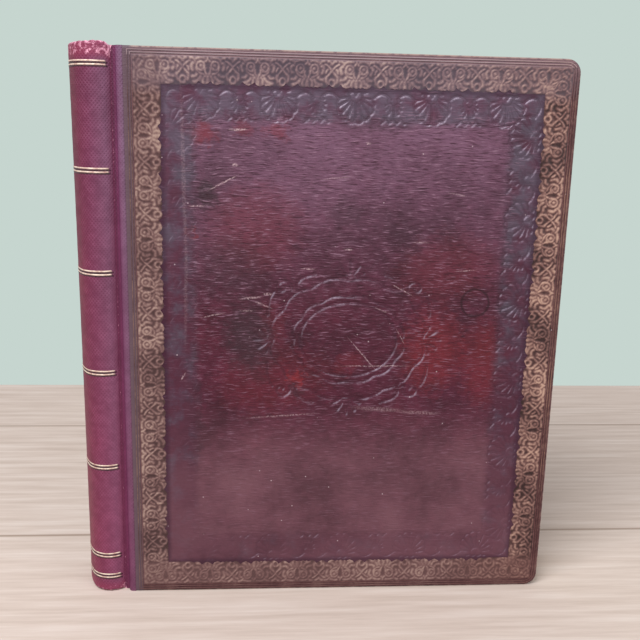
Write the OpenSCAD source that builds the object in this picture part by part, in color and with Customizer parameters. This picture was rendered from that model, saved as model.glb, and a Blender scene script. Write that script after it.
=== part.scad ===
// Closed leather album standing on its tail edge, with a rounded hollow spine.
// The front cover faces -Y, the spine is at -X and the head is at +Z.
// The origin is on the standing surface, under the middle of the book.

/* [Boards] */
// Height of the covers, from tail to head
cover_h = 280; // [220:1:340]
// Width of a cover, from the joint line to the fore-edge
cover_w = 225; // [180:1:280]
// Thickness of the millboard
board_t = 3.2; // [2.6:0.1:4.5]
// Radius of a cover's two fore-edge corners
corner_r = 7; // [4:0.5:12]
// Radius of the board's outer edge along the joint
board_edge_r = 1.4; // [0.6:0.1:2]
// Width of the joint gap, from the joint line to the millboard
joint_gap = 3.2; // [2.6:0.1:4.5]

/* [Leather] */
// Thickness of the old covering leather
cover_leather_t = 0.8; // [0.6:0.1:1.1]
// Thickness of the newer leather on the spine and in the joints
spine_leather_t = 1; // [0.7:0.1:1.3]
// Thickness of the newer leather where it is pared to lie on a board
pared_t = 0.5; // [0.3:0.05:0.55]
// Distance from the joint line to the raw edge of the old leather
old_edge = 6.2; // [5.8:0.1:7.4]
// Reach of the newer leather under the old leather
underlap = 8; // [5:0.5:14]
// Width of the turn-ins on the inner faces
turn_in_w = 14; // [10:1:20]
// Pared thickness of the turn-ins, and of the pastedown that they frame
turn_in_t = 0.3; // [0.2:0.05:0.5]

/* [Leaves] */
// Number of card leaves
leaf_count = 26; // [16:1:36]
// Thickness of one leaf
leaf_t = 1.2; // [0.8:0.05:1.5]
// Distance by which the covers stand out past the leaves
square_w = 3.5; // [2.8:0.1:6]
// Depth of the hollow in the fore-edge
fore_hollow = 3; // [1:0.1:6]
// Width of the dark line between two leaves
leaf_line_w = 0.16; // [0.1:0.01:0.3]
// Depth of the dark line between two leaves
leaf_line_d = 0.6; // [0.3:0.1:1.2]
// Clearance between the leaves and each cover
cover_gap = 0.2; // [0.15:0.05:0.6]

/* [Spine] */
// Distance by which the spine stands out past the joint lines
spine_out = 20; // [18.5:0.1:24]
// Radius of the two shoulders of the spine
shoulder_r = 10; // [9:0.1:11]
// Thickness of the card inside the spine leather
spine_card_t = 1.5; // [1:0.1:1.8]
// Thickness of the cloth lining on the back of the leaves
lining_t = 0.5; // [0.3:0.1:0.6]
// Height of the spine leather turned in at head and tail
spine_turn_in = 15; // [8:1:30]
// Diameter of the head band and the tail band
band_d = 2.4; // [1.6:0.1:2.6]

/* [Tapes] */
// Number of sewing tapes
tape_count = 4; // [3:1:5]
// Width of one sewing tape
tape_w = 12; // [8:1:18]
// Thickness of a sewing tape
tape_t = 0.4; // [0.3:0.05:0.5]
// Length of each tape slip that is glued down on a board
slip_l = 30; // [20:1:50]

/* [Gilt tooling] */
// Height of the gilt above the leather
gilt_t = 0.12; // [0.08:0.01:0.2]
// Width of the gilt roll border
roll_w = 13; // [12:0.5:15]
// Length of one repeat of the roll
roll_pitch = 24; // [22:0.5:30]
// Distance from the joint line to the roll border
roll_inset = 10.6; // [10.4:0.1:13]
// Distance from the head, tail and fore-edge to the roll border
roll_margin = 4; // [3.6:0.1:6]
// Width of one gilt line on a cover
fillet_w = 0.4; // [0.3:0.05:0.6]
// Step between the gilt lines outside the roll border
fillet_step = 1.25; // [0.9:0.05:1.3]
// Width of one gilt rule on the spine
rule_w = 0.55; // [0.4:0.05:0.8]
// Distance between the two rules of a pair
rule_step = 1.7; // [1.2:0.1:2.5]
// Distance from the head to the first pair of rules
rule_head = 8.5; // [6:0.5:14]
// Distance from the tail to the last pair of rules
rule_tail = 10.5; // [8:0.5:14]
// Distance between the two pairs of rules at the tail
rule_tail_step = 11; // [8:0.5:16]
// Number of plain panels between the pairs of rules
panel_count = 5; // [4:1:7]

/* [Blind tooling] */
// Depth of the blind tooling
blind_d = 0.25; // [0.1:0.05:0.28]
// Length of one repeat of the blind shell border
shell_pitch = 38; // [34:1:46]
// Distance from the roll border to the foot of a shell
shell_inset = 3; // [2:0.5:6]
// Length of one flute of a shell
flute_l = 7; // [5:0.1:8]
// Width of one flute at its widest
flute_w = 2.4; // [1.6:0.1:2.8]
// Width of the middle ornament
ornament_w = 95; // [60:1:100]
// Height of the middle ornament
ornament_h = 76; // [50:1:110]
// Width of the blind lines round the middle ornament
ornament_line = 1.4; // [0.8:0.1:2]

/* [Hidden] */
$fn = 64;

// Colours
OLD_LEATHER = "#5c2e3c";
NEW_LEATHER = "#7a4468";
GILT = "#94745a";
BRIGHT_GILT = "#e6c9b4";
BOARD = "#a89878";
PAPER = "#e4d8be";
TAPE = "#d8cdb0";
CLOTH = "#cfc6ae";
SILK = "#b89a4c";

// Widths and thicknesses of the whole book
total_w = spine_out + cover_w;
block_t = leaf_count * leaf_t;
cover_t = cover_leather_t + board_t + turn_in_t;
total_t = block_t + 2 * (cover_gap + cover_t);

// Places along X
joint_x = spine_out - total_w / 2;
fore_x = total_w / 2;
board_x = joint_x + joint_gap;
old_edge_x = joint_x + old_edge;
leaf_fore_x = fore_x - square_w;

// Places along Y, for the front cover, from its outer face inwards
outer_y = -total_t / 2;
board_y = outer_y + cover_leather_t;
pared_y = board_y - pared_t;
board_in_y = board_y + board_t;
slip_y = board_in_y - tape_t;
cover_in_y = board_in_y + turn_in_t;
groove_y = cover_in_y - spine_leather_t;
block_depth = cover_t + cover_gap;

// Plan of the spine: two shoulder arcs that run smoothly into one large arc
shoulder_y = total_t / 2 - shoulder_r;
groove_dy = -groove_y - shoulder_y;
shoulder_dx = sqrt(pow(shoulder_r, 2) - pow(groove_dy, 2));
shoulder_x = joint_x - shoulder_dx;
back_out = spine_out - shoulder_dx;
crown = back_out - shoulder_r;
back_r = (pow(shoulder_y, 2) - pow(crown, 2)) / (2 * crown) + back_out;
back_x = back_r - total_w / 2;
back_angle = atan2(shoulder_y, back_x - shoulder_x);
// Directions round a shoulder: straight out of the front cover, and well past the groove
APEX = 180 + 90;
PAST_GROOVE = 360 - 15;
groove_angle = 360 - atan2(groove_dy, shoulder_dx);

// The layers of the spine, as depths below its outer surface
card_in = spine_leather_t + spine_card_t;
turn_in_in = card_in + spine_leather_t;
cap_r = turn_in_in / 2;
lining_out = block_depth - lining_t;

// The card and the gilt rules stop this far round the shoulder from the groove
card_stop = 14;
rule_stop = 8;

// Heights of the pairs of rules that divide the spine's panels
panel_low = rule_tail + rule_tail_step;
panel_step = (cover_h - rule_head - panel_low) / panel_count;
panel_z = [for (i = [0:panel_count]) panel_low + i * panel_step];

// The roll border's outline
roll_x0 = joint_x + roll_inset;
roll_x1 = fore_x - roll_margin;
roll_z0 = roll_margin;
roll_z1 = cover_h - roll_margin;

// The blind border's outline, along the feet of its shells
shell_x0 = roll_x0 + roll_w + shell_inset;
shell_x1 = roll_x1 - roll_w - shell_inset;
shell_z0 = roll_z0 + roll_w + shell_inset;
shell_z1 = roll_z1 - roll_w - shell_inset;
shell_r = 3.4;

// The middle ornament's two ovals, as shares of its width and height and of each other
oval_share = 0.8;
inner_share = 0.72;
scallop_share = 0.06;

// Places inside one repeat of the roll: along it as shares of the repeat,
// and inwards as shares of the roll's width
eye_along = 0.108;
eye_in = 0.35;
scroll_along = 0.33;
scroll_in = 0.42;
drop_in = 0.64;
link_in = 0.6;
lobe_along = 0.27;

// A flat shape in X and Z, raised to a plate that runs from one Y to another
module plate(y_from, y_to)
    translate([0, y_to, 0]) rotate([90, 0, 0]) linear_extrude(y_to - y_from) children();

// A block between two corners
module block(low, high)
    translate(low) cube(high - low);

// A rectangle between two corners
module rectangle(x0, z0, x1, z1)
    translate([x0, z0]) square([x1 - x0, z1 - z0]);

// A rectangle whose two fore-edge corners are round
module fore_rounded(x0, inset) {
    x1 = fore_x - inset;
    z1 = cover_h - inset;
    r = corner_r - inset;
    rectangle(x0, inset, x1 - r, z1);
    rectangle(x0, inset + r, x1, z1 - r);
    for (z = [inset + r, z1 - r])
        translate([x1 - r, z]) circle(r);
}

// A frame whose outer edge lies out past the roll border, and its line's width
module frame_line(out, w)
    difference() {
        rectangle(roll_x0 - out, roll_z0 - out, roll_x1 + out, roll_z1 + out);
        rectangle(roll_x0 - out + w, roll_z0 - out + w, roll_x1 + out - w, roll_z1 + out - w);
    }

// A profile of depth and height, carried round the spine's large arc
module along_back()
    translate([back_x, 0, 0])
        rotate([0, 0, 180 - back_angle])
            rotate_extrude(angle = 2 * back_angle)
                translate([back_r, 0]) mirror([1, 0]) children();

// The same, carried on round both shoulders as far as an angle
module along_shoulders(end)
    for (side = [0, 1]) mirror([0, side, 0])
        translate([shoulder_x, -shoulder_y, 0])
            rotate([0, 0, 180 + back_angle])
                rotate_extrude(angle = end - 180 - back_angle)
                    translate([shoulder_r, 0]) mirror([1, 0]) children();

// A front piece turned over to the back cover
module turned_over()
    mirror([0, 1, 0]) children();

// Heights of the tapes' lower edges
tape_step = (cover_h - 2 * square_w) / (tape_count + 1);
tape_z = [for (i = [1:tape_count]) square_w + i * tape_step - tape_w / 2];

// The tape slips of one cover, which cross the joint and end on the board
module slips()
    for (z = tape_z)
        block([joint_x, slip_y, z], [board_x + slip_l, board_in_y, z + tape_w]);

// The whole body of one board, before the tape slips are let into it
module board_body()
    difference() {
        plate(board_y, board_in_y) fore_rounded(board_x, cover_leather_t);
        difference() {
            block([board_x - 1, board_y - 1, -1],
                [board_x + board_edge_r, board_y + board_edge_r, cover_h + 1]);
            translate([board_x + board_edge_r, board_y + board_edge_r, -2])
                cylinder(r = board_edge_r, h = cover_h + 4);
        }
    }

module board()
    difference() {
        board_body();
        slips();
    }

// Plan of the newer leather: the groove's floor, the rise over the board's edge,
// and the strip on the board's outer face
module joint_plan() {
    arc_x = board_x + board_edge_r;
    arc_y = board_y + board_edge_r;
    arc_r = board_edge_r + pared_t;
    rectangle(joint_x, groove_y, arc_x, cover_in_y);
    rectangle(board_x - pared_t, arc_y, arc_x, groove_y);
    translate([arc_x, arc_y]) circle(arc_r);
    rectangle(arc_x, pared_y, old_edge_x + underlap, arc_y);
}

module joint_leather()
    difference() {
        union() {
            linear_extrude(cover_h) joint_plan();
            block([board_x, board_y, 0], [old_edge_x, cover_in_y, cover_h]);
        }
        board_body();
        slips();
        block([board_x, board_in_y, turn_in_w], [fore_x, cover_in_y + 1, cover_h - turn_in_w]);
        block([old_edge_x, board_y, -1], [fore_x, cover_in_y, cover_h + 1]);
    }

module pastedown()
    plate(board_in_y, cover_in_y)
        rectangle(board_x, turn_in_w, fore_x - turn_in_w, cover_h - turn_in_w);

// One flute of a shell: a slim kite that points along +Z from its narrow foot
module flute()
    polygon([[0, 0], [flute_w / 2, flute_l * 0.7], [0, flute_l], [-flute_w / 2, flute_l * 0.7]]);

// A shell of five flutes that opens along +Z
module shell()
    for (a = [-64:32:64])
        rotate(a) translate([0, shell_r]) flute();

// The curved bracket between two shells, as a band of straight facets
module bracket(half) {
    steps = 6;
    sag = 3.4;
    line = 0.9;
    curve = [for (i = [0:steps]) [half * (2 * i / steps - 1), sag * pow(2 * i / steps - 1, 2)]];
    polygon(concat(curve, [for (i = [steps:-1:0]) curve[i] + [0, line]]));
}

// One side of the blind border: shells at an even step, with brackets between
module shell_run(length) {
    count = max(1, round(length / shell_pitch));
    step = length / count;
    half = step / 2 - shell_r - flute_l;
    for (i = [0:count - 1])
        translate([(i + 0.5) * step, 0]) shell();
    for (i = [1:1:count - 1])
        translate([i * step, 0]) bracket(half);
}

// The blind border of shells, with one in each corner
module shell_border() {
    w = shell_x1 - shell_x0;
    h = shell_z1 - shell_z0;
    reach = shell_r + flute_l;
    translate([shell_x0 + reach, shell_z0]) shell_run(w - 2 * reach);
    translate([shell_x1 - reach, shell_z1]) rotate(180) shell_run(w - 2 * reach);
    translate([shell_x1, shell_z0 + reach]) rotate(90) shell_run(h - 2 * reach);
    translate([shell_x0, shell_z1 - reach]) rotate(-90) shell_run(h - 2 * reach);
}

// The middle ornament's outline: an oval with twelve scallops, grown by a width
function ornament_edge(w, h, grow) = [
    for (a = [0:6:354])
        let (k = 1 + scallop_share * abs(sin(6 * a)))
        [(w / 2 * k + grow) * cos(a), (h / 2 * k + grow) * sin(a)]
];

module ornament_ring(w, h)
    difference() {
        polygon(ornament_edge(w, h, 0));
        polygon(ornament_edge(w, h, -ornament_line));
    }

// The middle ornament: two scalloped ovals round a plain field, crowned by a shell
module ornament() {
    mid_x = (shell_x0 + shell_x1) / 2;
    outer_w = ornament_w * oval_share;
    outer_h = ornament_h * oval_share;
    translate([mid_x, cover_h / 2]) {
        ornament_ring(outer_w, outer_h);
        ornament_ring(outer_w * inner_share, outer_h * inner_share);
        for (turn = [0, 180]) rotate(turn) {
            translate([0, outer_h / 2 * 1.02]) shell();
            translate([outer_w / 2 * 1.02, 0]) rotate(-90) shell();
        }
    }
}

module cover_leather(with_ornament)
    difference() {
        plate(outer_y, cover_in_y) fore_rounded(old_edge_x, 0);
        plate(board_y, board_in_y) fore_rounded(board_x, cover_leather_t);
        block([old_edge_x - 1, board_in_y - 1, turn_in_w],
            [fore_x - turn_in_w, cover_in_y + 1, cover_h - turn_in_w]);
        block([old_edge_x - 1, pared_y, -1], [old_edge_x + underlap, board_y, cover_h + 1]);
        plate(outer_y - 1, outer_y + blind_d) {
            shell_border();
            if (with_ornament) ornament();
        }
    }

// The dark shapes inside one repeat of the roll: u runs along it, v inwards.
// Two eyes, two scrolls that curl round them, a drop between and a link at the end.
module roll_gaps(step) {
    for (s = [-1, 1]) {
        translate([s * roll_pitch * eye_along, roll_w * eye_in]) circle(1.15, $fn = 6);
        translate([s * roll_pitch * scroll_along, roll_w * scroll_in])
            polygon([[0, -2.9], [s * 1.9, -1.6], [s * 1.9, 1.4], [0, 2.7], [s * 0.9, 0.6], [s * 0.7, -1.5]]);
    }
    translate([0, roll_w * drop_in]) polygon([[0, -1.5], [0.7, 0.2], [0, 1.4], [-0.7, 0.2]]);
    translate([step / 2, roll_w * link_in]) polygon([[0, -2.4], [1.2, 1], [-1.2, 1]]);
}

// The scallops along the inner edge of one repeat
module roll_scallops() {
    for (s = [-1, 0, 1])
        translate([s * roll_pitch * lobe_along, roll_w])
            polygon([[-2.4, -2], [2.4, -2], [2, 0], [0.8, 0.7], [-0.8, 0.7], [-2, 0]]);
}

// One side of the roll border, as a solid strip or as its dark shapes
module roll_run(length, gaps) {
    count = round(length / roll_pitch);
    step = length / count;
    if (!gaps) square([length, roll_w - 1]);
    for (i = [0:count - 1])
        translate([(i + 0.5) * step, 0])
            if (gaps) roll_gaps(step);
            else roll_scallops();
}

// All four sides of the roll border: head and tail run out to the fore-edge corners
module roll_sides(gaps) {
    across = roll_x1 - roll_x0 - roll_w;
    up = roll_z1 - roll_z0;
    translate([roll_x0, roll_z1]) rotate(-90) roll_run(up, gaps);
    translate([roll_x0 + roll_w, roll_z0]) roll_run(across, gaps);
    translate([roll_x1, roll_z1]) rotate(180) roll_run(across, gaps);
    translate([roll_x1, roll_z0 + roll_w]) rotate(90) roll_run(up - 2 * roll_w, gaps);
}

module gilt_tooling()
    plate(outer_y - gilt_t, outer_y) {
        difference() {
            roll_sides(false);
            roll_sides(true);
        }
        for (i = [1, 2])
            frame_line(i * fillet_step, fillet_w);
    }

// Points along an arc about a centre
function arc_points(x, y, r, from, to, steps) = [
    for (i = [0:steps])
        let (a = from + (to - from) * i / steps)
        [x + r * cos(a), y + r * sin(a)]
];

// The leaves' back at a depth, as short straight facets from front to back
function back_curve(depth) =
    let (
        steps = 10,
        front = arc_points(shoulder_x, -shoulder_y, shoulder_r - depth, APEX, 180 + back_angle, steps),
        middle = arc_points(back_x, 0, back_r - depth, 180 + back_angle, 180 - back_angle, 2 * steps),
        back = arc_points(shoulder_x, shoulder_y, shoulder_r - depth, 180 - back_angle, 90, steps)
    )
    concat(front, [for (i = [1:2 * steps - 1]) middle[i]], back);

function reversed(list) = [for (i = [len(list) - 1:-1:0]) list[i]];

// The leaves as one body: a round back, flat sides and a hollow fore-edge.
// deeper moves its head, tail and fore-edge inwards.
module leaves_body(deeper) {
    half = block_t / 2;
    low = square_w + deeper;
    high = cover_h - square_w - deeper;
    fore_r = (pow(half, 2) + pow(fore_hollow, 2)) / (2 * fore_hollow);
    difference() {
        translate([0, 0, low]) linear_extrude(high - low)
            polygon(concat(back_curve(block_depth), [[leaf_fore_x, half], [leaf_fore_x, -half]]));
        translate([leaf_fore_x - fore_hollow + fore_r, 0, low - 1])
            cylinder(r = fore_r + deeper, h = high - low + 2);
    }
}

// The dark lines between the leaves, open at the head, the tail and the fore-edge
module leaf_lines()
    difference() {
        for (i = [1:leaf_count - 1])
            translate([shoulder_x, i * leaf_t - (block_t + leaf_line_w) / 2, 0])
                cube([leaf_fore_x - shoulder_x + 1, leaf_line_w, cover_h]);
        leaves_body(leaf_line_d);
    }

// The tapes lie flush in the leaves' back and run on to the joint lines
module tapes() {
    half = block_t / 2;
    for (z = tape_z)
        translate([0, 0, z]) linear_extrude(tape_w)
            polygon(concat(
                [[joint_x, -half + tape_t], [joint_x, -half]],
                back_curve(block_depth),
                [[joint_x, half], [joint_x, half - tape_t]],
                reversed(back_curve(block_depth + tape_t))
            ));
}

// One silk band, which sits on the leaves' head or tail right beside their back
module silk_band(z) {
    along_back() band_section(z);
    along_shoulders(APEX) band_section(z);
}

module band_section(z)
    translate([block_depth + band_d / 2, z]) circle(d = band_d, $fn = 12);

// Section of the spine leather: the wall, and at each end a round cap that wraps
// the card, with the part turned in behind the card
module spine_leather_section() {
    translate([0, cap_r]) square([spine_leather_t, cover_h - 2 * cap_r]);
    turned_end();
    translate([0, cover_h]) mirror([0, 1]) turned_end();
}

module turned_end() {
    translate([cap_r, cap_r]) circle(cap_r, $fn = 12);
    translate([0, cap_r]) square([turn_in_in, cap_r]);
    translate([card_in, cap_r]) square([spine_leather_t, spine_turn_in - cap_r]);
}

// The sub-parts

module front_board() color(BOARD) board();
module back_board() color(BOARD) turned_over() board();
module front_cover_leather() color(OLD_LEATHER) cover_leather(true);
module back_cover_leather() color(OLD_LEATHER) turned_over() cover_leather(false);
module front_joint_leather() color(NEW_LEATHER) joint_leather();
module back_joint_leather() color(NEW_LEATHER) turned_over() joint_leather();
module front_pastedown() color(PAPER) pastedown();
module back_pastedown() color(PAPER) turned_over() pastedown();
module front_gilt_tooling() color(GILT) gilt_tooling();
module back_gilt_tooling() color(GILT) turned_over() gilt_tooling();
module front_tape_slips() color(TAPE) slips();
module back_tape_slips() color(TAPE) turned_over() slips();

module page_block()
    color(PAPER) difference() {
        leaves_body(0);
        leaf_lines();
        tapes();
    }

module sewing_tapes() color(TAPE) tapes();

module spine_lining()
    color(CLOTH) {
        along_back() lining_section();
        along_shoulders(APEX) lining_section();
    }

module lining_section()
    translate([lining_out, square_w]) square([lining_t, cover_h - 2 * square_w]);

module head_band() color(SILK) silk_band(cover_h - square_w + band_d / 2);
module tail_band() color(SILK) silk_band(square_w - band_d / 2);

module spine_card()
    color(BOARD) {
        along_back() card_section();
        along_shoulders(groove_angle - card_stop) card_section();
    }

module card_section()
    translate([spine_leather_t, 2 * cap_r]) square([spine_card_t, cover_h - 4 * cap_r]);

module spine_leather()
    color(NEW_LEATHER) difference() {
        union() {
            along_back() spine_leather_section();
            along_shoulders(PAST_GROOVE) spine_leather_section();
        }
        block([joint_x, -total_t, -1], [joint_x + total_t, total_t, cover_h + 1]);
        block([shoulder_x, cover_in_y, -1], [joint_x + 1, -cover_in_y, cover_h + 1]);
    }

module spine_gilt_rules()
    color(BRIGHT_GILT)
        for (z = concat(panel_z, [rule_tail]), side = [-1, 1]) {
            along_back() rule_section(z + side * rule_step / 2);
            along_shoulders(groove_angle - rule_stop) rule_section(z + side * rule_step / 2);
        }

module rule_section(z)
    translate([-gilt_t, z - rule_w / 2]) square([gilt_t, rule_w]);

front_board();
front_cover_leather();
front_joint_leather();
front_pastedown();
front_gilt_tooling();
front_tape_slips();
back_board();
back_cover_leather();
back_joint_leather();
back_pastedown();
back_gilt_tooling();
back_tape_slips();
page_block();
sewing_tapes();
spine_lining();
head_band();
tail_band();
spine_card();
spine_leather();
spine_gilt_rules();
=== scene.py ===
"""Looks for a leather album with a rounded hollow spine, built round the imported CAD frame.

The front cover faces -Y, the spine is at -X and the head is at +Z. Shapes are worked out in
millimetres and put into the meshes in metres. A piece of the back cover is the front one's
shape with Y turned over.
"""

import math

import bpy
import numpy as np
from bpy.props import FloatProperty, FloatVectorProperty, IntProperty, PointerProperty
from mathutils import Matrix, Vector


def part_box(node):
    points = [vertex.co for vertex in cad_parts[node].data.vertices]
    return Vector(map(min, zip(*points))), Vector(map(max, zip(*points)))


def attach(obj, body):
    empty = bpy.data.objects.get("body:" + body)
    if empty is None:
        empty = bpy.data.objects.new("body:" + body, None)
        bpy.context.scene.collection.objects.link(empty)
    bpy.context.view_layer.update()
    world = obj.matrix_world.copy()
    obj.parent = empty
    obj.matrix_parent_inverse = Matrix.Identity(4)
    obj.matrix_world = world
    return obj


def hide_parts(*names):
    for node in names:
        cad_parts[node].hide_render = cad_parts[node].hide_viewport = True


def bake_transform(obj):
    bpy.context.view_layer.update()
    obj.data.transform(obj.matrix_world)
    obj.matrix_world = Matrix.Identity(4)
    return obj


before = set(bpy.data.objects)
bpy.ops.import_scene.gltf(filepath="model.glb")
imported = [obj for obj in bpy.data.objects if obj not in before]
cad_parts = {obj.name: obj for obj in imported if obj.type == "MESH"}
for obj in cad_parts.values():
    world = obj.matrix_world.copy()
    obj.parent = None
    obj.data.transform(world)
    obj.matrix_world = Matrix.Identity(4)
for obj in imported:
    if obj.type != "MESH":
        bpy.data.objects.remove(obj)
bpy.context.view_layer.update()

bl_info = {
    "name": "Leather Album",
    "version": (1, 0, 0),
    "blender": (4, 5, 0),
    "location": "View3D > Sidebar > Album",
    "description": "Makes a tooled leather album with a rounded spine, and its stage",
    "category": "Add Mesh",
}

M = 0.001


def box_mm(node):
    """The lowest and highest corner of a CAD node, in millimetres."""
    low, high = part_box(node)
    return np.array(low) * 1000, np.array(high) * 1000


# Places taken from the frame
LEATHER_LOW, LEATHER_HIGH = box_mm("front_cover_leather")
BOARD_LOW, BOARD_HIGH = box_mm("front_board")
JOINT_LOW = box_mm("front_joint_leather")[0]
SPINE_LOW = box_mm("spine_leather")[0]
HEIGHT = LEATHER_HIGH[2]
FORE_X = LEATHER_HIGH[0]
RAW_X = LEATHER_LOW[0]
OUTER_Y = LEATHER_LOW[1]
INNER_Y = LEATHER_HIGH[1]
BOARD_X = BOARD_LOW[0]
BOARD_Y = BOARD_LOW[1]
BOARD_IN_Y = BOARD_HIGH[1]
JOINT_X = JOINT_LOW[0]
PARED_Y = JOINT_LOW[1]

# The plan of the spine, as in the source: two shoulder arcs and one large arc
SHOULDER_R = 10.0
SPINE_WALL = 1.0
SHOULDER_Y = -OUTER_Y - SHOULDER_R
GROOVE_Y = INNER_Y - SPINE_WALL
SHOULDER_X = JOINT_X - math.sqrt(SHOULDER_R**2 - (-GROOVE_Y - SHOULDER_Y) ** 2)
CROWN = SHOULDER_X - SPINE_LOW[0] - SHOULDER_R
BACK_R = (SHOULDER_Y**2 - CROWN**2) / (2 * CROWN) + SHOULDER_R + CROWN
BACK_X = SPINE_LOW[0] + BACK_R
BACK_ANGLE = math.atan2(SHOULDER_Y, BACK_X - SHOULDER_X)
GROOVE_ANGLE = 2 * math.pi - math.atan2(-GROOVE_Y - SHOULDER_Y, JOINT_X - SHOULDER_X)

# The covers' two fore-edge corners
CORNER_R = 7.0

# The roll border and the rectangle along its inner edge
ROLL_W = 13.0
ROLL_PITCH = 24.0
ROLL_LOW = np.array([JOINT_X + 10.6, 4.0])
ROLL_HIGH = np.array([FORE_X - 4.0, HEIGHT - 4.0])
PANEL_LOW = ROLL_LOW + ROLL_W
PANEL_HIGH = ROLL_HIGH - ROLL_W
SEAM_INSET = 6.0
SEAM_LOW = ROLL_LOW + SEAM_INSET
SEAM_HIGH = ROLL_HIGH - SEAM_INSET

# How far the roll's inner edge draws back between its lobes, over half a repeat
INNER_EDGE_U = [0.0, 1.3, 2.3, 3.4, 5.6, 7.6, 8.6, 10.2, 12.0]
INNER_EDGE_NOTCH = [0.0, 0.7, 0.2, 0.8, 0.0, 0.7, 1.9, 0.9, 0.2]

# The end bands' radius, and how far the leaves stay inside the covers at head and tail
BAND_R = 1.2
LEAF_INSET = 3.5

# Heights of the gilt rules on the spine
RULE_STEP = 1.7
RULE_PAIRS = [9.3, 21.3, 71.1, 121.7, 172.7, 222.4, 271.9]


def rgba(code, alpha=1.0):
    """An sRGB hex colour as linear red, green, blue and alpha."""
    channels = [int(code[i : i + 2], 16) / 255 for i in (1, 3, 5)]
    linear = [c / 12.92 if c <= 0.04045 else ((c + 0.055) / 1.055) ** 2.4 for c in channels]
    return (*linear, alpha)


def colour_property(name, description, code):
    return FloatVectorProperty(
        name=name,
        description=description,
        subtype="COLOR",
        size=4,
        min=0.0,
        max=1.0,
        default=rgba(code),
    )


class AlbumSizes(bpy.types.PropertyGroup):
    """Sizes of the tooling and of the leather's surface, in millimetres."""

    gilt_line: FloatProperty(
        name="Gilt line",
        description="Width of one line of the gilt roll border, in millimetres",
        default=1.05,
        min=0.2,
        max=1.4,
    )
    gilt_height: FloatProperty(
        name="Gilt height",
        description="Height of the gilt lines above the leather, in millimetres",
        default=0.2,
        min=0.02,
        max=0.3,
    )
    blind_depth: FloatProperty(
        name="Blind depth",
        description="Depth of the blind tooling, in millimetres",
        default=0.5,
        min=0.1,
        max=0.8,
    )
    blind_line: FloatProperty(
        name="Blind line",
        description="Width of one line of the blind tooling, in millimetres",
        default=0.75,
        min=0.4,
        max=1.6,
    )
    shell_pitch: FloatProperty(
        name="Shell pitch",
        description="Distance from one shell of the blind border to the next, in millimetres",
        default=38.0,
        min=30.0,
        max=50.0,
    )
    hatch_pitch: FloatProperty(
        name="Hatch pitch",
        description="Distance between two lines of the spine leather's crossed grain, in millimetres",
        default=1.3,
        min=0.8,
        max=3.0,
    )
    winding_pitch: FloatProperty(
        name="Silk pitch",
        description="Distance from one silk winding of the end bands to the next, in millimetres",
        default=1.1,
        min=0.5,
        max=2.0,
    )
    seed: IntProperty(
        name="Wear seed",
        description="Seed of the worn outline of the spine's caps",
        default=7,
        min=0,
        max=999,
    )


class AlbumColours(bpy.types.PropertyGroup):
    """Colours of the album's leathers, gilt and paper."""

    old_leather: colour_property("Old leather", "Main colour of the old covering leather", "#612b41")
    old_dark: colour_property("Old leather, dark", "Darkest parts of the old leather", "#46202f")
    # The colour of the painted highlight on the old leather's grain ridges
    old_ridge_highlight: colour_property("Old leather, rubbed", "Rubbed ridges of the old leather's grain", "#927084")
    old_red: colour_property("Old leather, red", "Patches where the first red shows", "#74242c")
    old_grey: colour_property(
        "Old leather, grey", "Grey patches and the ground of the blind border", "#4a3444"
    )
    new_leather: colour_property("New leather", "Main colour of the spine leather", "#6a2c4a")
    gilt: colour_property("Dull gilt", "Worn gilt of the roll border", "#b59a8e")
    # The spine rules' nearly white colour is partly the gold leaf's own and partly a painted reflection of
    # its shine
    bright_gilt: colour_property("Bright gilt", "Gilt rules on the spine", "#f4e2d0")
    paper: colour_property("Paper", "Edges of the card leaves", "#dacbab")


def sizes():
    return bpy.context.scene.album_sizes


def colour(name):
    """A colour from the scene's album colours, as a plain tuple."""
    return tuple(getattr(bpy.context.scene.album_colours, name))


# Meshes


def make_mesh(name, points, faces, material, smooth=True, values=None, flat_map=None):
    """Puts points in millimetres and faces into a new mesh object at the origin.

    values holds one named number for each point, and flat_map a place in millimetres on the
    unrolled surface for each point, kept as the UV map "unrolled".
    """
    mesh = bpy.data.meshes.new(name)
    mesh.from_pydata((np.asarray(points) * M).tolist(), [], faces)
    mesh.polygons.foreach_set("use_smooth", np.full(len(mesh.polygons), smooth))
    for key, numbers in (values or {}).items():
        layer = mesh.attributes.new(key, "FLOAT", "POINT")
        layer.data.foreach_set("value", np.asarray(numbers, np.float32))
    if flat_map is not None:
        corners = np.zeros(len(mesh.loops), int)
        mesh.loops.foreach_get("vertex_index", corners)
        layer = mesh.uv_layers.new(name="unrolled")
        layer.data.foreach_set("uv", np.asarray(flat_map, np.float32)[corners].ravel())
    mesh.materials.append(material)
    mesh.update()
    made = bpy.data.objects.new(name, mesh)
    bpy.context.scene.collection.objects.link(made)
    return made


def grid_faces(rows, columns, wrap_rows=False, wrap_columns=False, first=0):
    """Quads of a grid whose points are numbered row by row.

    Point (r, c) has number first + r * columns + c, and each quad joins it to the next column
    and the next row. A wrapped direction joins its last points to its first.
    """
    r = np.arange(rows if wrap_rows else rows - 1)[:, None]
    c = np.arange(columns if wrap_columns else columns - 1)[None, :]
    r1 = (r + 1) % rows
    c1 = (c + 1) % columns
    quads = np.stack([r * columns + c, r * columns + c1, r1 * columns + c1, r1 * columns + c], -1)
    return (quads.reshape(-1, 4) + first).tolist()


def turned_over(points, faces):
    """The same shape for the back cover: Y changes its sign, and each face's order turns round."""
    return points * np.array([1, -1, 1]), [face[::-1] for face in faces]


def both_covers(name, points, faces, material, smooth=True, values=None, flat_map=None):
    """Makes a piece for the front cover and its twin for the back, each riding on its cover."""
    made = []
    for side in ("front", "back"):
        p, f = (points, faces) if side == "front" else turned_over(points, faces)
        chosen = material[side] if isinstance(material, dict) else material
        piece = make_mesh(f"{side}_{name}", p, f, chosen, smooth, values, flat_map)
        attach(piece, f"{side}_cover")
        made.append(piece)
    return made


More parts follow.
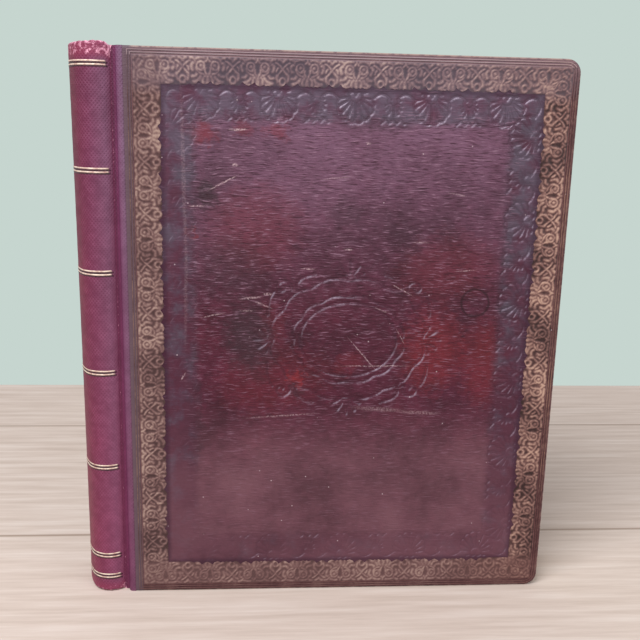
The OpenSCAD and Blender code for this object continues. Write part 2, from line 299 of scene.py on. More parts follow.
def smooth_noise(x, z, scale, seed):
    """A gentle random surface: the sum of six sine waves of random direction and phase.

    Wave lengths lie round scale, in millimetres, and the result lies between -1 and 1.
    """
    rng = np.random.default_rng(seed)
    total = np.zeros(np.broadcast(x, z).shape)
    for _ in range(6):
        turn = rng.uniform(0, 2 * math.pi)
        length = scale * rng.uniform(0.6, 1.6)
        phase = rng.uniform(0, 2 * math.pi)
        total += np.sin((x * math.cos(turn) + z * math.sin(turn)) * 2 * math.pi / length + phase)
    return total / 6


# Nodes

# How a Mix node is set to mix two colours, its inputs 6 and 7
RGBA = {"out": 2, "data_type": "RGBA"}


def add(tree, kind, inputs=(), out=0, stops=None, **settings):
    """Adds one node with its settings and links, and returns the chosen output socket.

    inputs are plain values or other nodes' outputs: a list fills the sockets from the first
    on, and a dictionary gives each socket's name or number. A Map Range node's list holds its
    value, then from and to. stops are the places and colours of a colour ramp.
    """
    node = tree.nodes.new("ShaderNode" + kind)
    for key, value in settings.items():
        setattr(node, key, value)
    for key, value in inputs.items() if isinstance(inputs, dict) else enumerate(inputs):
        if isinstance(value, bpy.types.NodeSocket):
            tree.links.new(value, node.inputs[key])
        else:
            node.inputs[key].default_value = value
    if stops:
        ramp = node.color_ramp
        while len(ramp.elements) < len(stops):
            ramp.elements.new(0.5)
        for element, (place, shade) in zip(ramp.elements, stops):
            element.position = place
            element.color = shade
    return node.outputs[out]


def start_material(name, **shader):
    """An empty node material with its Principled shader: returns material, tree and shader."""
    material = bpy.data.materials.new(name)
    material.use_nodes = True
    tree = material.node_tree
    tree.nodes.clear()
    bsdf = tree.nodes.new("ShaderNodeBsdfPrincipled")
    end = tree.nodes.new("ShaderNodeOutputMaterial")
    tree.links.new(bsdf.outputs[0], end.inputs[0])
    for key, value in shader.items():
        bsdf.inputs[key.replace("_", " ")].default_value = value
    return material, tree, bsdf


def object_mm(tree, shift=(0, 0, 0)):
    """Object coordinates as millimetres, moved by shift."""
    place = add(tree, "TexCoord", out="Object")
    return add(tree, "Mapping", {"Vector": place, "Location": shift, "Scale": (1000, 1000, 1000)})


def ellipse_mask(tree, place, centre, half, turn, soft):
    """1 inside a turned ellipse on the cover's plane, 0 outside, with a soft edge.

    The place is turned and scaled so that the ellipse becomes a unit circle, and the distance
    from its centre is then mapped from the inner to the outer edge of the soft band.
    """
    unit = add(
        tree,
        "Mapping",
        {
            "Vector": place,
            "Location": (centre[0], 0, centre[1]),
            "Rotation": (0, -math.radians(turn), 0),
            "Scale": (half[0], 100000.0, half[1]),
        },
        vector_type="TEXTURE",
    )
    away = add(tree, "VectorMath", [unit], out="Value", operation="LENGTH")
    return add(tree, "MapRange", [away, 1 - soft, 1 + soft, 1, 0], interpolation_type="SMOOTHSTEP")


def frame_distance(tree, place, low, high):
    """Distance outwards past a rectangle on the cover's plane, negative inside it.

    It is the larger of how far the place lies from the rectangle's middle along X and along Z,
    each less half the rectangle's size.
    """
    middle = (low + high) / 2
    half = (high - low) / 2
    parts = add(tree, "SeparateXYZ", [place], out="X").node
    past = []
    for axis, m, h in (("X", middle[0], half[0]), ("Z", middle[1], half[1])):
        shifted = add(tree, "Math", [parts.outputs[axis], float(m)], operation="SUBTRACT")
        size = add(tree, "Math", [shifted], operation="ABSOLUTE")
        past.append(add(tree, "Math", [size, float(h)], operation="SUBTRACT"))
    return add(tree, "Math", [past[0], past[1]], operation="MAXIMUM")


# Worn places on the front cover: centre, half sizes, turn in degrees, strength
RED_PATCHES = [
    ((57, 134), (17, 22), 0, 0.62),
    ((84, 128), (12, 24), 0, 0.5),
    ((14, 128), (9, 6), 20, 0.3),
    ((-26, 146), (8, 13), 0, 0.3),
    ((-64.9, 193.6), (2.2, 2.2), 0, 0.9),
    ((-12.8, 119.4), (3.6, 4.8), 0, 1.0),
    ((-24, 118), (30, 18), 10, 0.3),
    ((62, 176), (26, 18), 10, 0.3),
    ((-34, 196), (24, 22), 0, 0.3),
    ((-60, 241), (8, 6), 0, 0.6),
    ((-24, 243), (6, 5), 0, 0.5),
    ((-40, 244), (5, 4), 0, 0.4),
]
GREY_PATCHES = [
    ((-36.5, 140), (14, 21), 10, 0.75),
    ((-12, 113), (5, 4), 0, 0.5),
    ((-58.5, 211), (6, 7), 0, 0.8),
    ((-46, 176), (16, 17), 30, 0.4),
    ((-66, 95), (6, 26), 0, 0.5),
    ((25, 248), (16, 5), 0, 0.4),
    ((10, 205), (9, 7), 0, 0.35),
    ((100, 244), (12, 14), 0, 0.5),
]
SCUFFS = [
    ((-43.0, 243.0), (3.8, 0.5), 0, 0.9),
    ((-44.1, 226.3), (1.2, 0.8), 0, 0.8),
    ((-49.9, 217.6), (7.0, 0.35), 29, 0.7),
    ((-62.6, 206.3), (3.3, 0.35), 0, 0.7),
    ((20.8, 132.2), (9.6, 0.3), -49, 0.55),
    ((39.9, 165.8), (5.3, 0.3), -28, 0.6),
    ((29.9, 155.2), (3.6, 0.3), -21, 0.5),
    ((40.2, 141.6), (4.0, 0.3), -60, 0.5),
    ((27.7, 125.9), (15.5, 0.3), 0, 0.5),
    ((30.4, 102.6), (12.0, 1.1), -4, 0.22),
    ((52.0, 100.6), (9.0, 0.9), -2, 0.25),
    ((-20.0, 99.0), (16.0, 0.4), 4, 0.35),
    ((-70.0, 120.0), (2.0, 0.4), 60, 0.6),
    ((-55.0, 152.0), (5.0, 0.3), 12, 0.5),
    ((5.0, 221.0), (6.0, 0.3), 5, 0.4),
    ((66.0, 214.0), (5.0, 0.3), -8, 0.4),
    ((-36.0, 161.0), (5.0, 0.5), 8, 0.5),
    ((-30.0, 157.5), (4.0, 0.4), 160, 0.5),
    ((-38.0, 154.5), (3.0, 0.35), 0, 0.5),
    ((-27.5, 163.0), (2.2, 0.6), 0, 0.6),
    ((12.0, 186.0), (2.0, 0.4), 0, 0.7),
    ((48.0, 190.0), (3.6, 0.35), 0, 0.5),
    ((72.0, 176.0), (4.5, 0.3), 4, 0.45),
    ((-8.0, 176.0), (3.0, 0.35), 0, 0.6),
    ((20.0, 238.0), (1.2, 0.6), 0, 0.6),
    ((-68.8, 222.0), (0.9, 36.0), 1, 0.13),
    ((-68.2, 165.0), (0.8, 26.0), -1, 0.1),
]
WATER_RING = ((77.7, 159.5), 7.6)


def old_goatskin(name, marks, shift):
    """Old goatskin, dyed maroon and glazed, rubbed for two centuries.

    It gives the eye a grain drawn out sideways into short ridges, with a painted highlight on the
    ridges and painted shade between them; a grey bloom round the tooled border, partly a painted
    sheen; a painted lilac sheen at the head and a painted grey reflection at the tail; a painted
    shadow under the roll's inner edge; a painted highlight on the tooled lines' upper left slopes;
    brown fillets at the edges, red patches and pale scuffs.
    """
    material, tree, bsdf = start_material(name, Specular_IOR_Level=0.2)
    place = object_mm(tree, shift)
    still = object_mm(tree)
    axes = add(tree, "SeparateXYZ", [still], out="X").node

    # Slow drift of the dye, about 45 mm across, and a finer mottle of about 6 mm
    drift = add(tree, "TexNoise", {"Vector": place, "Scale": 1 / 45, "Detail": 5, "Roughness": 0.62})
    mottle = add(tree, "TexNoise", {"Vector": place, "Scale": 1 / 6, "Detail": 6, "Roughness": 0.7})
    shade = add(
        tree,
        "ValToRGB",
        [drift],
        stops=[(0.34, colour("old_dark")), (0.52, colour("old_leather")), (0.7, rgba("#6a2c42"))],
    )
    shade = add(tree, "Mix", {0: mottle, 6: shade, 7: rgba("#4a2032")}, blend_type="OVERLAY", **RGBA)

    # A painted lilac sheen over the head third and a painted grey reflection of the pale table over the tail
    # third
    for low, high, tint, share in ((145, 250, "#7a5a72", 0.7), (112, 62, "#724e58", 0.78)):
        painted_sheen = add(
            tree, "MapRange", [axes.outputs["Z"], low, high, 0, share], interpolation_type="SMOOTHSTEP"
        )
        thin = add(tree, "MapRange", [drift, 0.35, 0.6, 0.45])
        painted_sheen = add(tree, "Math", [painted_sheen, thin], operation="MULTIPLY")
        shade = add(tree, "Mix", {0: painted_sheen, 6: shade, 7: rgba(tint)}, **RGBA)

    # Ragged places: the coordinates shake by a few millimetres before the patches are drawn
    shake = add(
        tree, "TexNoise", {"Vector": place, "Scale": 1 / 5, "Detail": 5, "Roughness": 0.65}, out="Color"
    )
    shake = add(tree, "VectorMath", [shake, (0.5, 0.5, 0.5)], operation="SUBTRACT")
    strong = add(tree, "VectorMath", {0: shake, 3: 20.0}, operation="SCALE")
    ragged = add(tree, "VectorMath", [still, strong], operation="ADD")
    torn = add(tree, "Mapping", {"Vector": place, "Scale": (0.16, 0.5, 0.5)})
    torn = add(tree, "TexNoise", {"Vector": torn, "Scale": 1.0, "Detail": 5, "Roughness": 0.7})
    for patches, tint in ((marks["red"], colour("old_red")), (marks["grey"], rgba("#35262e"))):
        for centre, half, turn, strength in patches:
            mask = ellipse_mask(tree, ragged, centre, half, turn, 0.7)
            mask = add(tree, "Math", [mask, torn], operation="ADD")
            mask = add(tree, "MapRange", [mask, 0.8, 1.5, 0, strength])
            shade = add(tree, "Mix", {0: mask, 6: shade, 7: tint}, **RGBA)

    # The ground of the blind border: grey violet, about 17 mm wide inside the roll. Its grey is partly a
    # painted sheen of the smooth burnished leather, and a painted sheen lightens it towards the head
    inside = frame_distance(tree, still, PANEL_LOW, PANEL_HIGH)
    shaken = add(tree, "Math", [torn, 7.0, inside], operation="MULTIPLY_ADD")
    border = add(tree, "MapRange", [shaken, -15.5, -9.0, 0, 0.75], interpolation_type="SMOOTHSTEP")
    faded = add(tree, "MapRange", [axes.outputs["Z"], 28, 95, 0.4])
    border = add(tree, "Math", [border, faded], operation="MULTIPLY")
    blotch_and_sheen = add(tree, "TexNoise", {"Vector": place, "Scale": 1 / 9, "Detail": 4, "Roughness": 0.6})
    # Painted sheen: the border's ground grows lighter and greyer towards the head
    painted_sheen_towards_head = add(tree, "MapRange", [axes.outputs["Z"], 60, 255, -0.12, 0.08])
    blotch_and_sheen = add(tree, "Math", [blotch_and_sheen, painted_sheen_towards_head], operation="ADD")
    ground = add(
        tree,
        "ValToRGB",
        [blotch_and_sheen],
        stops=[(0.38, rgba("#4a2636")), (0.5, colour("old_grey")), (0.64, rgba("#4e4856"))],
    )
    shade = add(tree, "Mix", {0: border, 6: shade, 7: ground}, **RGBA)

    # A painted shadow along the inner edge of the roll, under its raised gilt
    painted_shadow = add(tree, "MapRange", [inside, -2.4, -0.4, 0, 0.55])
    shade = add(tree, "Mix", {0: painted_shadow, 6: shade, 7: rgba("#2c1426")}, **RGBA)

    # Grain: ridges about 8 mm long and 0.4 mm high, bent a little by a slow wave
    bent = add(tree, "TexNoise", {"Vector": place, "Scale": 1 / 14, "Detail": 2}, out="Color")
    bent = add(tree, "VectorMath", {0: bent, 3: 3.0}, operation="SCALE")
    drawn = add(tree, "VectorMath", [place, bent], operation="ADD")
    drawn = add(tree, "Mapping", {"Vector": drawn, "Scale": (0.17, 0.6, 1.7)})
    ridges = add(
        tree, "TexNoise", {"Vector": drawn, "Scale": 1.0, "Detail": 5, "Roughness": 0.6, "Distortion": 0.1}
    )
    pores = add(tree, "TexVoronoi", {"Vector": place, "Scale": 0.9}, out="Distance")

    # The grain's ridges get a painted highlight and its valleys painted shade, strong in the upper half and
    # fading towards the tail and the border
    upper = add(tree, "MapRange", [axes.outputs["Z"], 60, 165, 0.18, 0.68])
    field = add(tree, "MapRange", [inside, -15, -9, 1, 0.3])
    upper = add(tree, "Math", [upper, field], operation="MULTIPLY")
    for low, high, tint in ((0.565, 0.66, colour("old_ridge_highlight")), (0.46, 0.37, rgba("#2e101c"))):
        grain_highlight_and_shade = add(tree, "MapRange", [ridges, low, high])
        grain_highlight_and_shade = add(tree, "Math", [grain_highlight_and_shade, upper], operation="MULTIPLY")
        shade = add(tree, "Mix", {0: grain_highlight_and_shade, 6: shade, 7: tint}, **RGBA)

    # Outside the roll the glaze has gone brown, greyer at the raw edge, and the rim is rubbed tan
    outside = frame_distance(tree, still, ROLL_LOW, ROLL_HIGH)
    brown = add(tree, "MapRange", [outside, -11.2, -10.6])
    tan = add(
        tree,
        "ValToRGB",
        [mottle],
        stops=[(0.35, rgba("#48282c")), (0.52, rgba("#623f40")), (0.7, rgba("#7c5c58"))],
    )
    head = add(tree, "MapRange", [axes.outputs["Z"], 262, 276, 0, 0.5])
    tan = add(tree, "Mix", {0: head, 6: tan, 7: rgba("#7e6a74")}, **RGBA)
    folded = add(tree, "Math", [outside, 0.685], operation="SUBTRACT")
    folded = add(tree, "Math", [folded, 0.625], operation="PINGPONG")
    burnt = add(tree, "MapRange", [folded, 0.24, 0.1, 0, 0.6])
    tan = add(tree, "Mix", {0: burnt, 6: tan, 7: rgba("#301c20")}, **RGBA)
    shade = add(tree, "Mix", {0: brown, 6: shade, 7: tan}, **RGBA)
    raw = add(tree, "MapRange", [axes.outputs["X"], -92.8, -91.9, 0.85, 0.0])
    shade = add(tree, "Mix", {0: raw, 6: shade, 7: rgba("#5c4a54")}, **RGBA)
    worn = add(tree, "TexNoise", {"Vector": place, "Scale": 1 / 3.2, "Detail": 5, "Roughness": 0.7})
    top = add(tree, "MapRange", [axes.outputs["Z"], 276, 279, 0, 0.1])
    worn = add(tree, "Math", [worn, top], operation="ADD")
    worn = add(tree, "MapRange", [worn, 0.46, 0.6])
    edge = add(tree, "MapRange", [outside, 3.0, 3.9])
    worn = add(tree, "Math", [worn, edge], operation="MULTIPLY")
    bare = add(tree, "MapRange", [axes.outputs["X"], -93.5, -91.5])
    worn = add(tree, "Math", [worn, bare], operation="MULTIPLY")
    shade = add(tree, "Mix", {0: worn, 6: shade, 7: rgba("#a08880")}, **RGBA)

    # Pressed lines are dark, and the slopes that face up and left get a painted lilac grey highlight, broken
    # by a noise
    press = add(tree, "Attribute", out="Fac", attribute_name="press")
    deep = add(tree, "MapRange", [press, 0.2, 0.9, 0, 0.6])
    shade = add(tree, "Mix", {0: deep, 6: shade, 7: rgba("#2b1925")}, **RGBA)
    lip = add(tree, "Attribute", out="Fac", attribute_name="slope")
    lip = add(tree, "MapRange", [lip, 0.08, 0.34, 0, 0.85])
    broken = add(tree, "TexNoise", {"Vector": place, "Scale": 0.3, "Detail": 6, "Roughness": 0.8})
    gaps = add(tree, "MapRange", [broken, 0.42, 0.58, 0.1])
    lip = add(tree, "Math", [lip, gaps], operation="MULTIPLY")
    shade = add(tree, "Mix", {0: lip, 6: shade, 7: rgba("#aea0b4")}, **RGBA)

    # Scuffs break through to the pale flesh side
    fine = add(tree, "TexNoise", {"Vector": place, "Scale": 1.1, "Detail": 4, "Roughness": 0.75})
    fine = add(tree, "MapRange", [fine, 0.42, 0.56])
    wobble = add(tree, "VectorMath", {0: shake, 3: 1.4}, operation="SCALE")
    wavy = add(tree, "VectorMath", [still, wobble], operation="ADD")
    for centre, half, turn, strength in marks["scuffs"]:
        mask = ellipse_mask(tree, wavy, centre, half, turn, 0.5)
        mask = add(tree, "Math", [mask, fine], operation="MULTIPLY")
        mask = add(tree, "Math", [mask, strength], operation="MULTIPLY")
        shade = add(tree, "Mix", {0: mask, 6: shade, 7: rgba("#c4a8ae")}, **RGBA)
    cells = add(tree, "TexVoronoi", {"Vector": place, "Scale": 1 / 6}, out="Distance")
    speck = add(tree, "MapRange", [cells, 0.07, 0.04])
    chosen = add(tree, "SeparateColor", [cells.node.outputs["Color"]], out="Red")
    chosen = add(tree, "Math", [chosen, 0.72], operation="GREATER_THAN")
    speck = add(tree, "Math", [speck, chosen], operation="MULTIPLY")
    speck = add(tree, "Math", [speck, 0.6], operation="MULTIPLY")
    shade = add(tree, "Mix", {0: speck, 6: shade, 7: rgba("#c4b0b6")}, **RGBA)
    for centre, radius in marks["rings"]:
        disc = ellipse_mask(tree, wavy, centre, (radius, radius), 0, 0.07)
        hole = ellipse_mask(tree, wavy, centre, (radius - 1.1, radius - 1.1), 0, 0.07)
        mask = add(tree, "Math", [disc, hole], operation="SUBTRACT")
        mask = add(tree, "Math", [mask, 0.75], operation="MULTIPLY")
        shade = add(tree, "Mix", {0: mask, 6: shade, 7: rgba("#2a101a")}, **RGBA)
    tree.links.new(shade, bsdf.inputs["Base Color"])

    gloss = add(tree, "MapRange", [mottle, 0.3, 0.7, 0.34, 0.52])
    tree.links.new(gloss, bsdf.inputs["Roughness"])

    # Relief: drawn grain on the panel, calmer towards the tail, and fine pores all over
    calm = add(tree, "Math", [ridges, upper], operation="MULTIPLY")
    bump = add(tree, "Bump", {"Strength": 0.9, "Distance": 0.0013, "Height": calm})
    bump = add(tree, "Bump", {"Strength": 0.25, "Distance": 0.0002, "Height": pores, "Normal": bump})
    tree.links.new(bump, bsdf.inputs["Normal"])
    return material


def worn_gilt(name, shift, stops):
    """Gold leaf pressed into leather with a heated roll, now worn to a dull pinkish tan.

    It gives the eye soft tan ridges over brown pits, worn in patches, warmer towards the
    fore-edge and duller along the tail, with a painted highlight on the sides of the ridges that
    face up and left and painted shade on the other sides. shift moves the whole range, and stops
    are its shades.
    """
    material, tree, bsdf = start_material(name, Metallic=0.1, Roughness=0.42, Specular_IOR_Level=0.35)
    place = object_mm(tree)
    press = add(tree, "Attribute", out="Fac", attribute_name="press")
    wear = add(tree, "TexNoise", {"Vector": place, "Scale": 0.4, "Detail": 5, "Roughness": 0.7})
    drift = add(tree, "TexNoise", {"Vector": place, "Scale": 1 / 22, "Detail": 3})
    axes = add(tree, "SeparateXYZ", [place], out="X").node
    tail = add(tree, "MapRange", [axes.outputs["Z"], 10, 30, -0.05, 0])
    mixed = add(tree, "Math", [wear, drift], operation="ADD")
    mixed = add(tree, "Math", [press, 0.42, mixed], operation="MULTIPLY_ADD")
    # Painted highlight on the slopes that face up and left, painted shade on those that face down and right
    slope = add(tree, "Attribute", out="Fac", attribute_name="slope")
    mixed = add(tree, "Math", [slope, 1.0, mixed], operation="MULTIPLY_ADD")
    mixed = add(tree, "Math", [mixed, tail], operation="ADD")
    head = add(tree, "MapRange", [axes.outputs["Z"], 258, 264, 0, -0.05])
    mixed = add(tree, "Math", [mixed, head], operation="ADD")
    mixed = add(tree, "Math", [mixed, shift], operation="ADD")
    shade = add(tree, "ValToRGB", [mixed], stops=stops)
    for axis, near, far, share, tint in (
        ("Z", 258, 264, 0.3, "#6e6476"),
        ("Z", 275.6, 276.2, 0.75, "#a8949a"),
        ("Z", 20, 15, 0.5, "#6e4e4e"),
        ("X", -76, -81, 0.3, "#5e4242"),
    ):
        side = add(tree, "MapRange", [axes.outputs[axis], near, far, 0, share])
        shade = add(tree, "Mix", {0: side, 6: shade, 7: rgba(tint)}, **RGBA)
    warm = add(tree, "MapRange", [axes.outputs["X"], 60, 110, 0, 0.4])
    warmer = add(tree, "Mix", {0: 1.0, 6: shade, 7: rgba("#f0d0b6")}, blend_type="MULTIPLY", **RGBA)
    shade = add(tree, "Mix", {0: warm, 6: shade, 7: warmer}, **RGBA)
    tree.links.new(shade, bsdf.inputs["Base Color"])
    bump = add(tree, "Bump", {"Strength": 0.35, "Distance": 0.0002, "Height": wear})
    tree.links.new(bump, bsdf.inputs["Normal"])
    return material


def new_goatskin(name, groove):
    """Newer goatskin, dyed purple red and plated with a fine crossed grain.

    It gives the eye two sets of slanting lines about 1.3 mm apart, redder at the left and the
    tail, and a lighter purple at the front groove that is partly a painted highlight, with rubbed
    pink places at the caps. The places come from the unrolled map, in millimetres. groove is a
    list of stops across the joint, or None on the spine.
    """
    material, tree, bsdf = start_material(name, Roughness=0.5, Specular_IOR_Level=0.25)
    place = add(tree, "UVMap", uv_map="unrolled")
    still = object_mm(tree)
    along = add(tree, "SeparateXYZ", [place], out="X").node
    high = add(tree, "SeparateXYZ", [still], out="Z")

    mottle = add(tree, "TexNoise", {"Vector": place, "Scale": 1 / 5, "Detail": 5, "Roughness": 0.65})
    drift = add(tree, "TexNoise", {"Vector": place, "Scale": 1 / 30, "Detail": 3})
    mixed = add(tree, "Math", [mottle, drift], operation="MULTIPLY")
    if groove:
        across = add(tree, "MapRange", [along.outputs["X"], 0, 10])
        shade = add(tree, "ValToRGB", [across], stops=groove)
        low = add(tree, "MapRange", [high, 20, 240, 0.45, 0.0])
        shade = add(tree, "Mix", {0: low, 6: shade, 7: rgba("#76284c")}, **RGBA)
    else:
        # Across the spine the colour runs from a lighter purple at the front groove, partly the leather's own
        # purple and partly a painted highlight, to red towards the back
        across = add(tree, "MapRange", [along.outputs["X"], 4, 21])
        top = add(
            tree,
            "ValToRGB",
            [across],
            stops=[(0.0, rgba("#744864")), (0.45, colour("new_leather")), (1.0, rgba("#681e34"))],
        )
        tail = add(
            tree,
            "ValToRGB",
            [across],
            stops=[(0.0, rgba("#864464")), (0.5, rgba("#803250")), (1.0, rgba("#862e46"))],
        )
        low = add(tree, "MapRange", [high, 20, 230, 1, 0])
        shade = add(tree, "Mix", {0: low, 6: top, 7: tail}, **RGBA)
    dark = add(tree, "MapRange", [mixed, 0.16, 0.36, 0.35, 0.0])
    shade = add(tree, "Mix", {0: dark, 6: shade, 7: rgba("#421a30")}, **RGBA)

    # The crossed grain: two sine waves that run at +40 and -40 degrees
    pitch = sizes().hatch_pitch
    waves = []
    for turn in (-40, 40):
        way = (math.cos(math.radians(turn)) / pitch, math.sin(math.radians(turn)) / pitch, 0)
        shaken = add(tree, "VectorMath", [place, way], out="Value", operation="DOT_PRODUCT")
        shaken = add(tree, "Math", [mottle, 0.35, shaken], operation="MULTIPLY_ADD")
        turns = add(tree, "Math", [shaken, 2 * math.pi], operation="MULTIPLY")
        waves.append(add(tree, "Math", [turns], operation="SINE"))
    hatch = add(tree, "Math", [waves[0], waves[1]], operation="MAXIMUM")
    patchy = add(tree, "MapRange", [mottle, 0.4, 0.62, 0.15])
    ridge = add(tree, "MapRange", [hatch, 0.78, 1, 0, 0.1 if groove else 0.3])
    ridge = add(tree, "Math", [ridge, patchy], operation="MULTIPLY")
    shade = add(tree, "Mix", {0: ridge, 6: shade, 7: rgba("#a47490")}, **RGBA)
    pit = add(tree, "MapRange", [hatch, 0.3, -0.6, 0, 0.05 if groove else 0.09])
    shade = add(tree, "Mix", {0: pit, 6: shade, 7: rgba("#4e1c34")}, **RGBA)

    # Rubbed pink at the caps and in small dots
    wear = add(tree, "Attribute", out="Fac", attribute_name="rubbed")
    if not groove:
        capped = add(tree, "Math", [wear, 1.5], operation="MULTIPLY")
        shade = add(tree, "Mix", {0: capped, 6: shade, 7: rgba("#8a3450")}, **RGBA)
    spots = add(tree, "TexNoise", {"Vector": place, "Scale": 0.42, "Detail": 6, "Roughness": 0.75})
    spots = add(tree, "Math", [spots, wear], operation="ADD")
    spots = add(tree, "MapRange", [spots, 0.92, 1.04])
    shade = add(tree, "Mix", {0: spots, 6: shade, 7: rgba("#e0a0b8")}, **RGBA)
    tree.links.new(shade, bsdf.inputs["Base Color"])

    lines = add(tree, "Bump", {"Strength": 0.4, "Distance": 0.0002, "Height": hatch})
    bump = add(tree, "Bump", {"Strength": 0.3, "Distance": 0.0006, "Height": mottle, "Normal": lines})
    tree.links.new(bump, bsdf.inputs["Normal"])
    return material


def plain_material(name, base, dark, grain, roughness, bump_mm, stretch=(1, 1, 1), **shader):
    """Two shades mixed by a noise of the given grain in millimetres, with a bump of that noise."""
    material, tree, bsdf = start_material(name, Roughness=roughness, **shader)
    place = object_mm(tree)
    place = add(tree, "Mapping", {"Vector": place, "Scale": stretch})
    noise = add(tree, "TexNoise", {"Vector": place, "Scale": 1 / grain, "Detail": 6, "Roughness": 0.65})
    shade = add(tree, "ValToRGB", [noise], stops=[(0.35, dark), (0.62, base)])
    tree.links.new(shade, bsdf.inputs["Base Color"])
    bump = add(tree, "Bump", {"Strength": 0.6, "Distance": bump_mm * M, "Height": noise})
    tree.links.new(bump, bsdf.inputs["Normal"])
    return material


# Shapes of the covers


def cover_outline(inset, left):
    """A closed outline of a cover: straight at the raw edge, round at the two fore-edge corners.

    It starts at the head of the raw edge, runs down it in four points, then along the tail,
    round the corner by a quarter circle of ten steps, up the fore-edge, round the next corner
    and back along the head.
    """
    r = max(CORNER_R - inset, 0.05)
    low, high, right = inset, HEIGHT - inset, FORE_X - inset
    turn = np.linspace(0, math.pi / 2, 11)
    raw = np.stack([np.full(4, left), np.linspace(high, low, 4)], 1)
    tail = np.stack([np.linspace(left, right - r, 12), np.full(12, low)], 1)
    corner = np.stack([right - r + r * np.sin(turn), low + r - r * np.cos(turn)], 1)
    fore = np.stack([np.full(10, right), np.linspace(low + r, high - r, 12)[1:-1]], 1)
    upper_corner = corner[::-1] * [1, -1] + [0, HEIGHT]
    head = tail[::-1] * [1, -1] + [0, HEIGHT]
    return raw, np.concatenate([tail, corner, fore, upper_corner, head])


def square_outline(low, high):
    """A rectangle with the same number of points, in the same order, as a cover's outline.

    The corner of head and fore-edge comes three times, to make up the number.
    """
    raw = np.stack([np.full(4, low[0]), np.linspace(high[1], low[1], 4)], 1)
    tail = np.stack([np.linspace(low[0], high[0], 17), np.full(17, low[1])], 1)
    fore = np.stack([np.full(20, high[0]), np.linspace(low[1], high[1], 22)[1:-1]], 1)
    head = tail[::-1] * [1, 0] + [0, high[1]]
    return raw, np.concatenate([tail, fore, head[:1], head[:1], head])


def leather_frame():
    """The rim of a cover's leather: the outer margin, the rounded edge and the turn-in.

    Rings of the cover's outline are joined to each other: from the seam under the roll border
    out to the edge, round it in a half circle of 1.2 mm, in along the inner face to the end of
    the turn-in, and back along the board to the seam.
    """
    round_r = 1.2
    turn_in = 14.0
    board_inset = 0.85
    rings = [(square_outline(SEAM_LOW, SEAM_HIGH), OUTER_Y, OUTER_Y)]
    steps = np.linspace(0, math.pi / 2, 6)
    for t in steps:
        inset = round_r * (1 - math.sin(t))
        deep = round_r * (1 - math.cos(t))
        rings.append((cover_outline(inset, RAW_X), OUTER_Y + deep, OUTER_Y + min(deep, 0.3)))
    for t in steps:
        inset = round_r * (1 - math.cos(t))
        deep = round_r * (1 - math.sin(t))
        rings.append((cover_outline(inset, RAW_X), INNER_Y - deep, PARED_Y))
    rings.append((cover_outline(turn_in, RAW_X), INNER_Y, PARED_Y))
    rings.append((cover_outline(turn_in, RAW_X), BOARD_IN_Y, PARED_Y))
    rings.append((cover_outline(board_inset, RAW_X), BOARD_IN_Y, PARED_Y))
    rings.append((cover_outline(board_inset, RAW_X), PARED_Y, PARED_Y))
    rings.append((square_outline(SEAM_LOW, SEAM_HIGH), PARED_Y, PARED_Y))
    points = []
    for (raw, path), deep, raw_deep in rings:
        points.append(np.column_stack([raw[:, 0], np.full(len(raw), raw_deep), raw[:, 1]]))
        points.append(np.column_stack([path[:, 0], np.full(len(path), deep), path[:, 1]]))
    count = len(rings[0][0][0]) + len(rings[0][0][1])
    faces = grid_faces(len(rings), count, wrap_rows=True, wrap_columns=True)
    return np.concatenate(points), faces


# Tooling


def polyline_distance(u, v, line):
    """Shortest distance from each point (u, v) to a line of straight pieces, as arrays."""
    best = np.full(u.shape, 1e9)
    for (u0, v0), (u1, v1) in zip(line[:-1], line[1:]):
        du, dv = u1 - u0, v1 - v0
        t = np.clip(((u - u0) * du + (v - v0) * dv) / (du * du + dv * dv + 1e-12), 0, 1)
        best = np.minimum(best, np.hypot(u - u0 - t * du, v - v0 - t * dv))
    return best


def arc(cu, cv, ru, rv, start, end, count=9):
    """Points of an elliptic arc about (cu, cv), from one angle to another in degrees."""
    a = np.radians(np.linspace(start, end, count))
    return np.column_stack([cu + ru * np.cos(a), cv + rv * np.sin(a)])


def curl(cu, cv, r0, r1, start, end, count=12):
    """Points of a spiral about (cu, cv) whose radius grows evenly with the angle."""
    a = np.radians(np.linspace(start, end, count))
    r = np.linspace(r0, r1, count)
    return np.column_stack([cu + r * np.cos(a), cv + r * np.sin(a)])


def bow(a, b, c, count=9):
    """Points of a quadratic curve from a to c that b pulls: (1-t)^2 a + 2t(1-t) b + t^2 c."""
    t = np.linspace(0, 1, count)[:, None]
    return (1 - t) ** 2 * np.array(a) + 2 * t * (1 - t) * np.array(b) + t**2 * np.array(c)


def shell_lines(half):
    """Half of one repeat of the blind border, from a shell's middle (u = 0) to the repeat's end.

    v runs inwards from the gilt. A shell has a small double arc as its foot and ribs that fan
    out to a scalloped rim. Beside it a bowed line lies along the gilt, and half way to the next
    shell a smaller fan ends in a zigzag.
    """
    lines = [arc(1.6, 3.0, 1.6, 1.7, -180, 0), bow((3.2, 3.0), (3.6, 1.4), (5.2, 1.6))]
    focus = np.array([0.0, 3.2])
    ends = []
    for turn in (0, 20, 40, 60, 80):
        way = np.array([math.sin(math.radians(turn)), math.cos(math.radians(turn))])
        reach = 11.2 - 3.6 * (turn / 80) ** 2
        lines.append(np.array([focus + way * 3.0, focus + way * reach]))
        ends.append(focus + way * (reach + 0.6))
    for a, b in zip(ends[:-1], ends[1:]):
        middle = (a + b) / 2
        lines.append(bow(a, middle + (middle - focus) * 0.22, b))
    lines.append(bow((8.6, 4.4), (13.0, -0.4), (17.4, 4.4)))
    lines.append(curl(16.6, 5.2, 0.3, 0.9, 0, 270))
    for turn in (0, 24, 48, 72):
        way = np.array([-math.sin(math.radians(turn)), math.cos(math.radians(turn))])
        lines.append(np.array([(half, 6.0) + way * 1.6, (half, 6.0) + way * (6.6 - turn / 30)]))
    zig = half - 1.9 * np.arange(4)
    lines.append(np.column_stack([zig, 14.6 + 0.9 * (np.arange(len(zig)) % 2 * 2 - 1)]))
    return lines


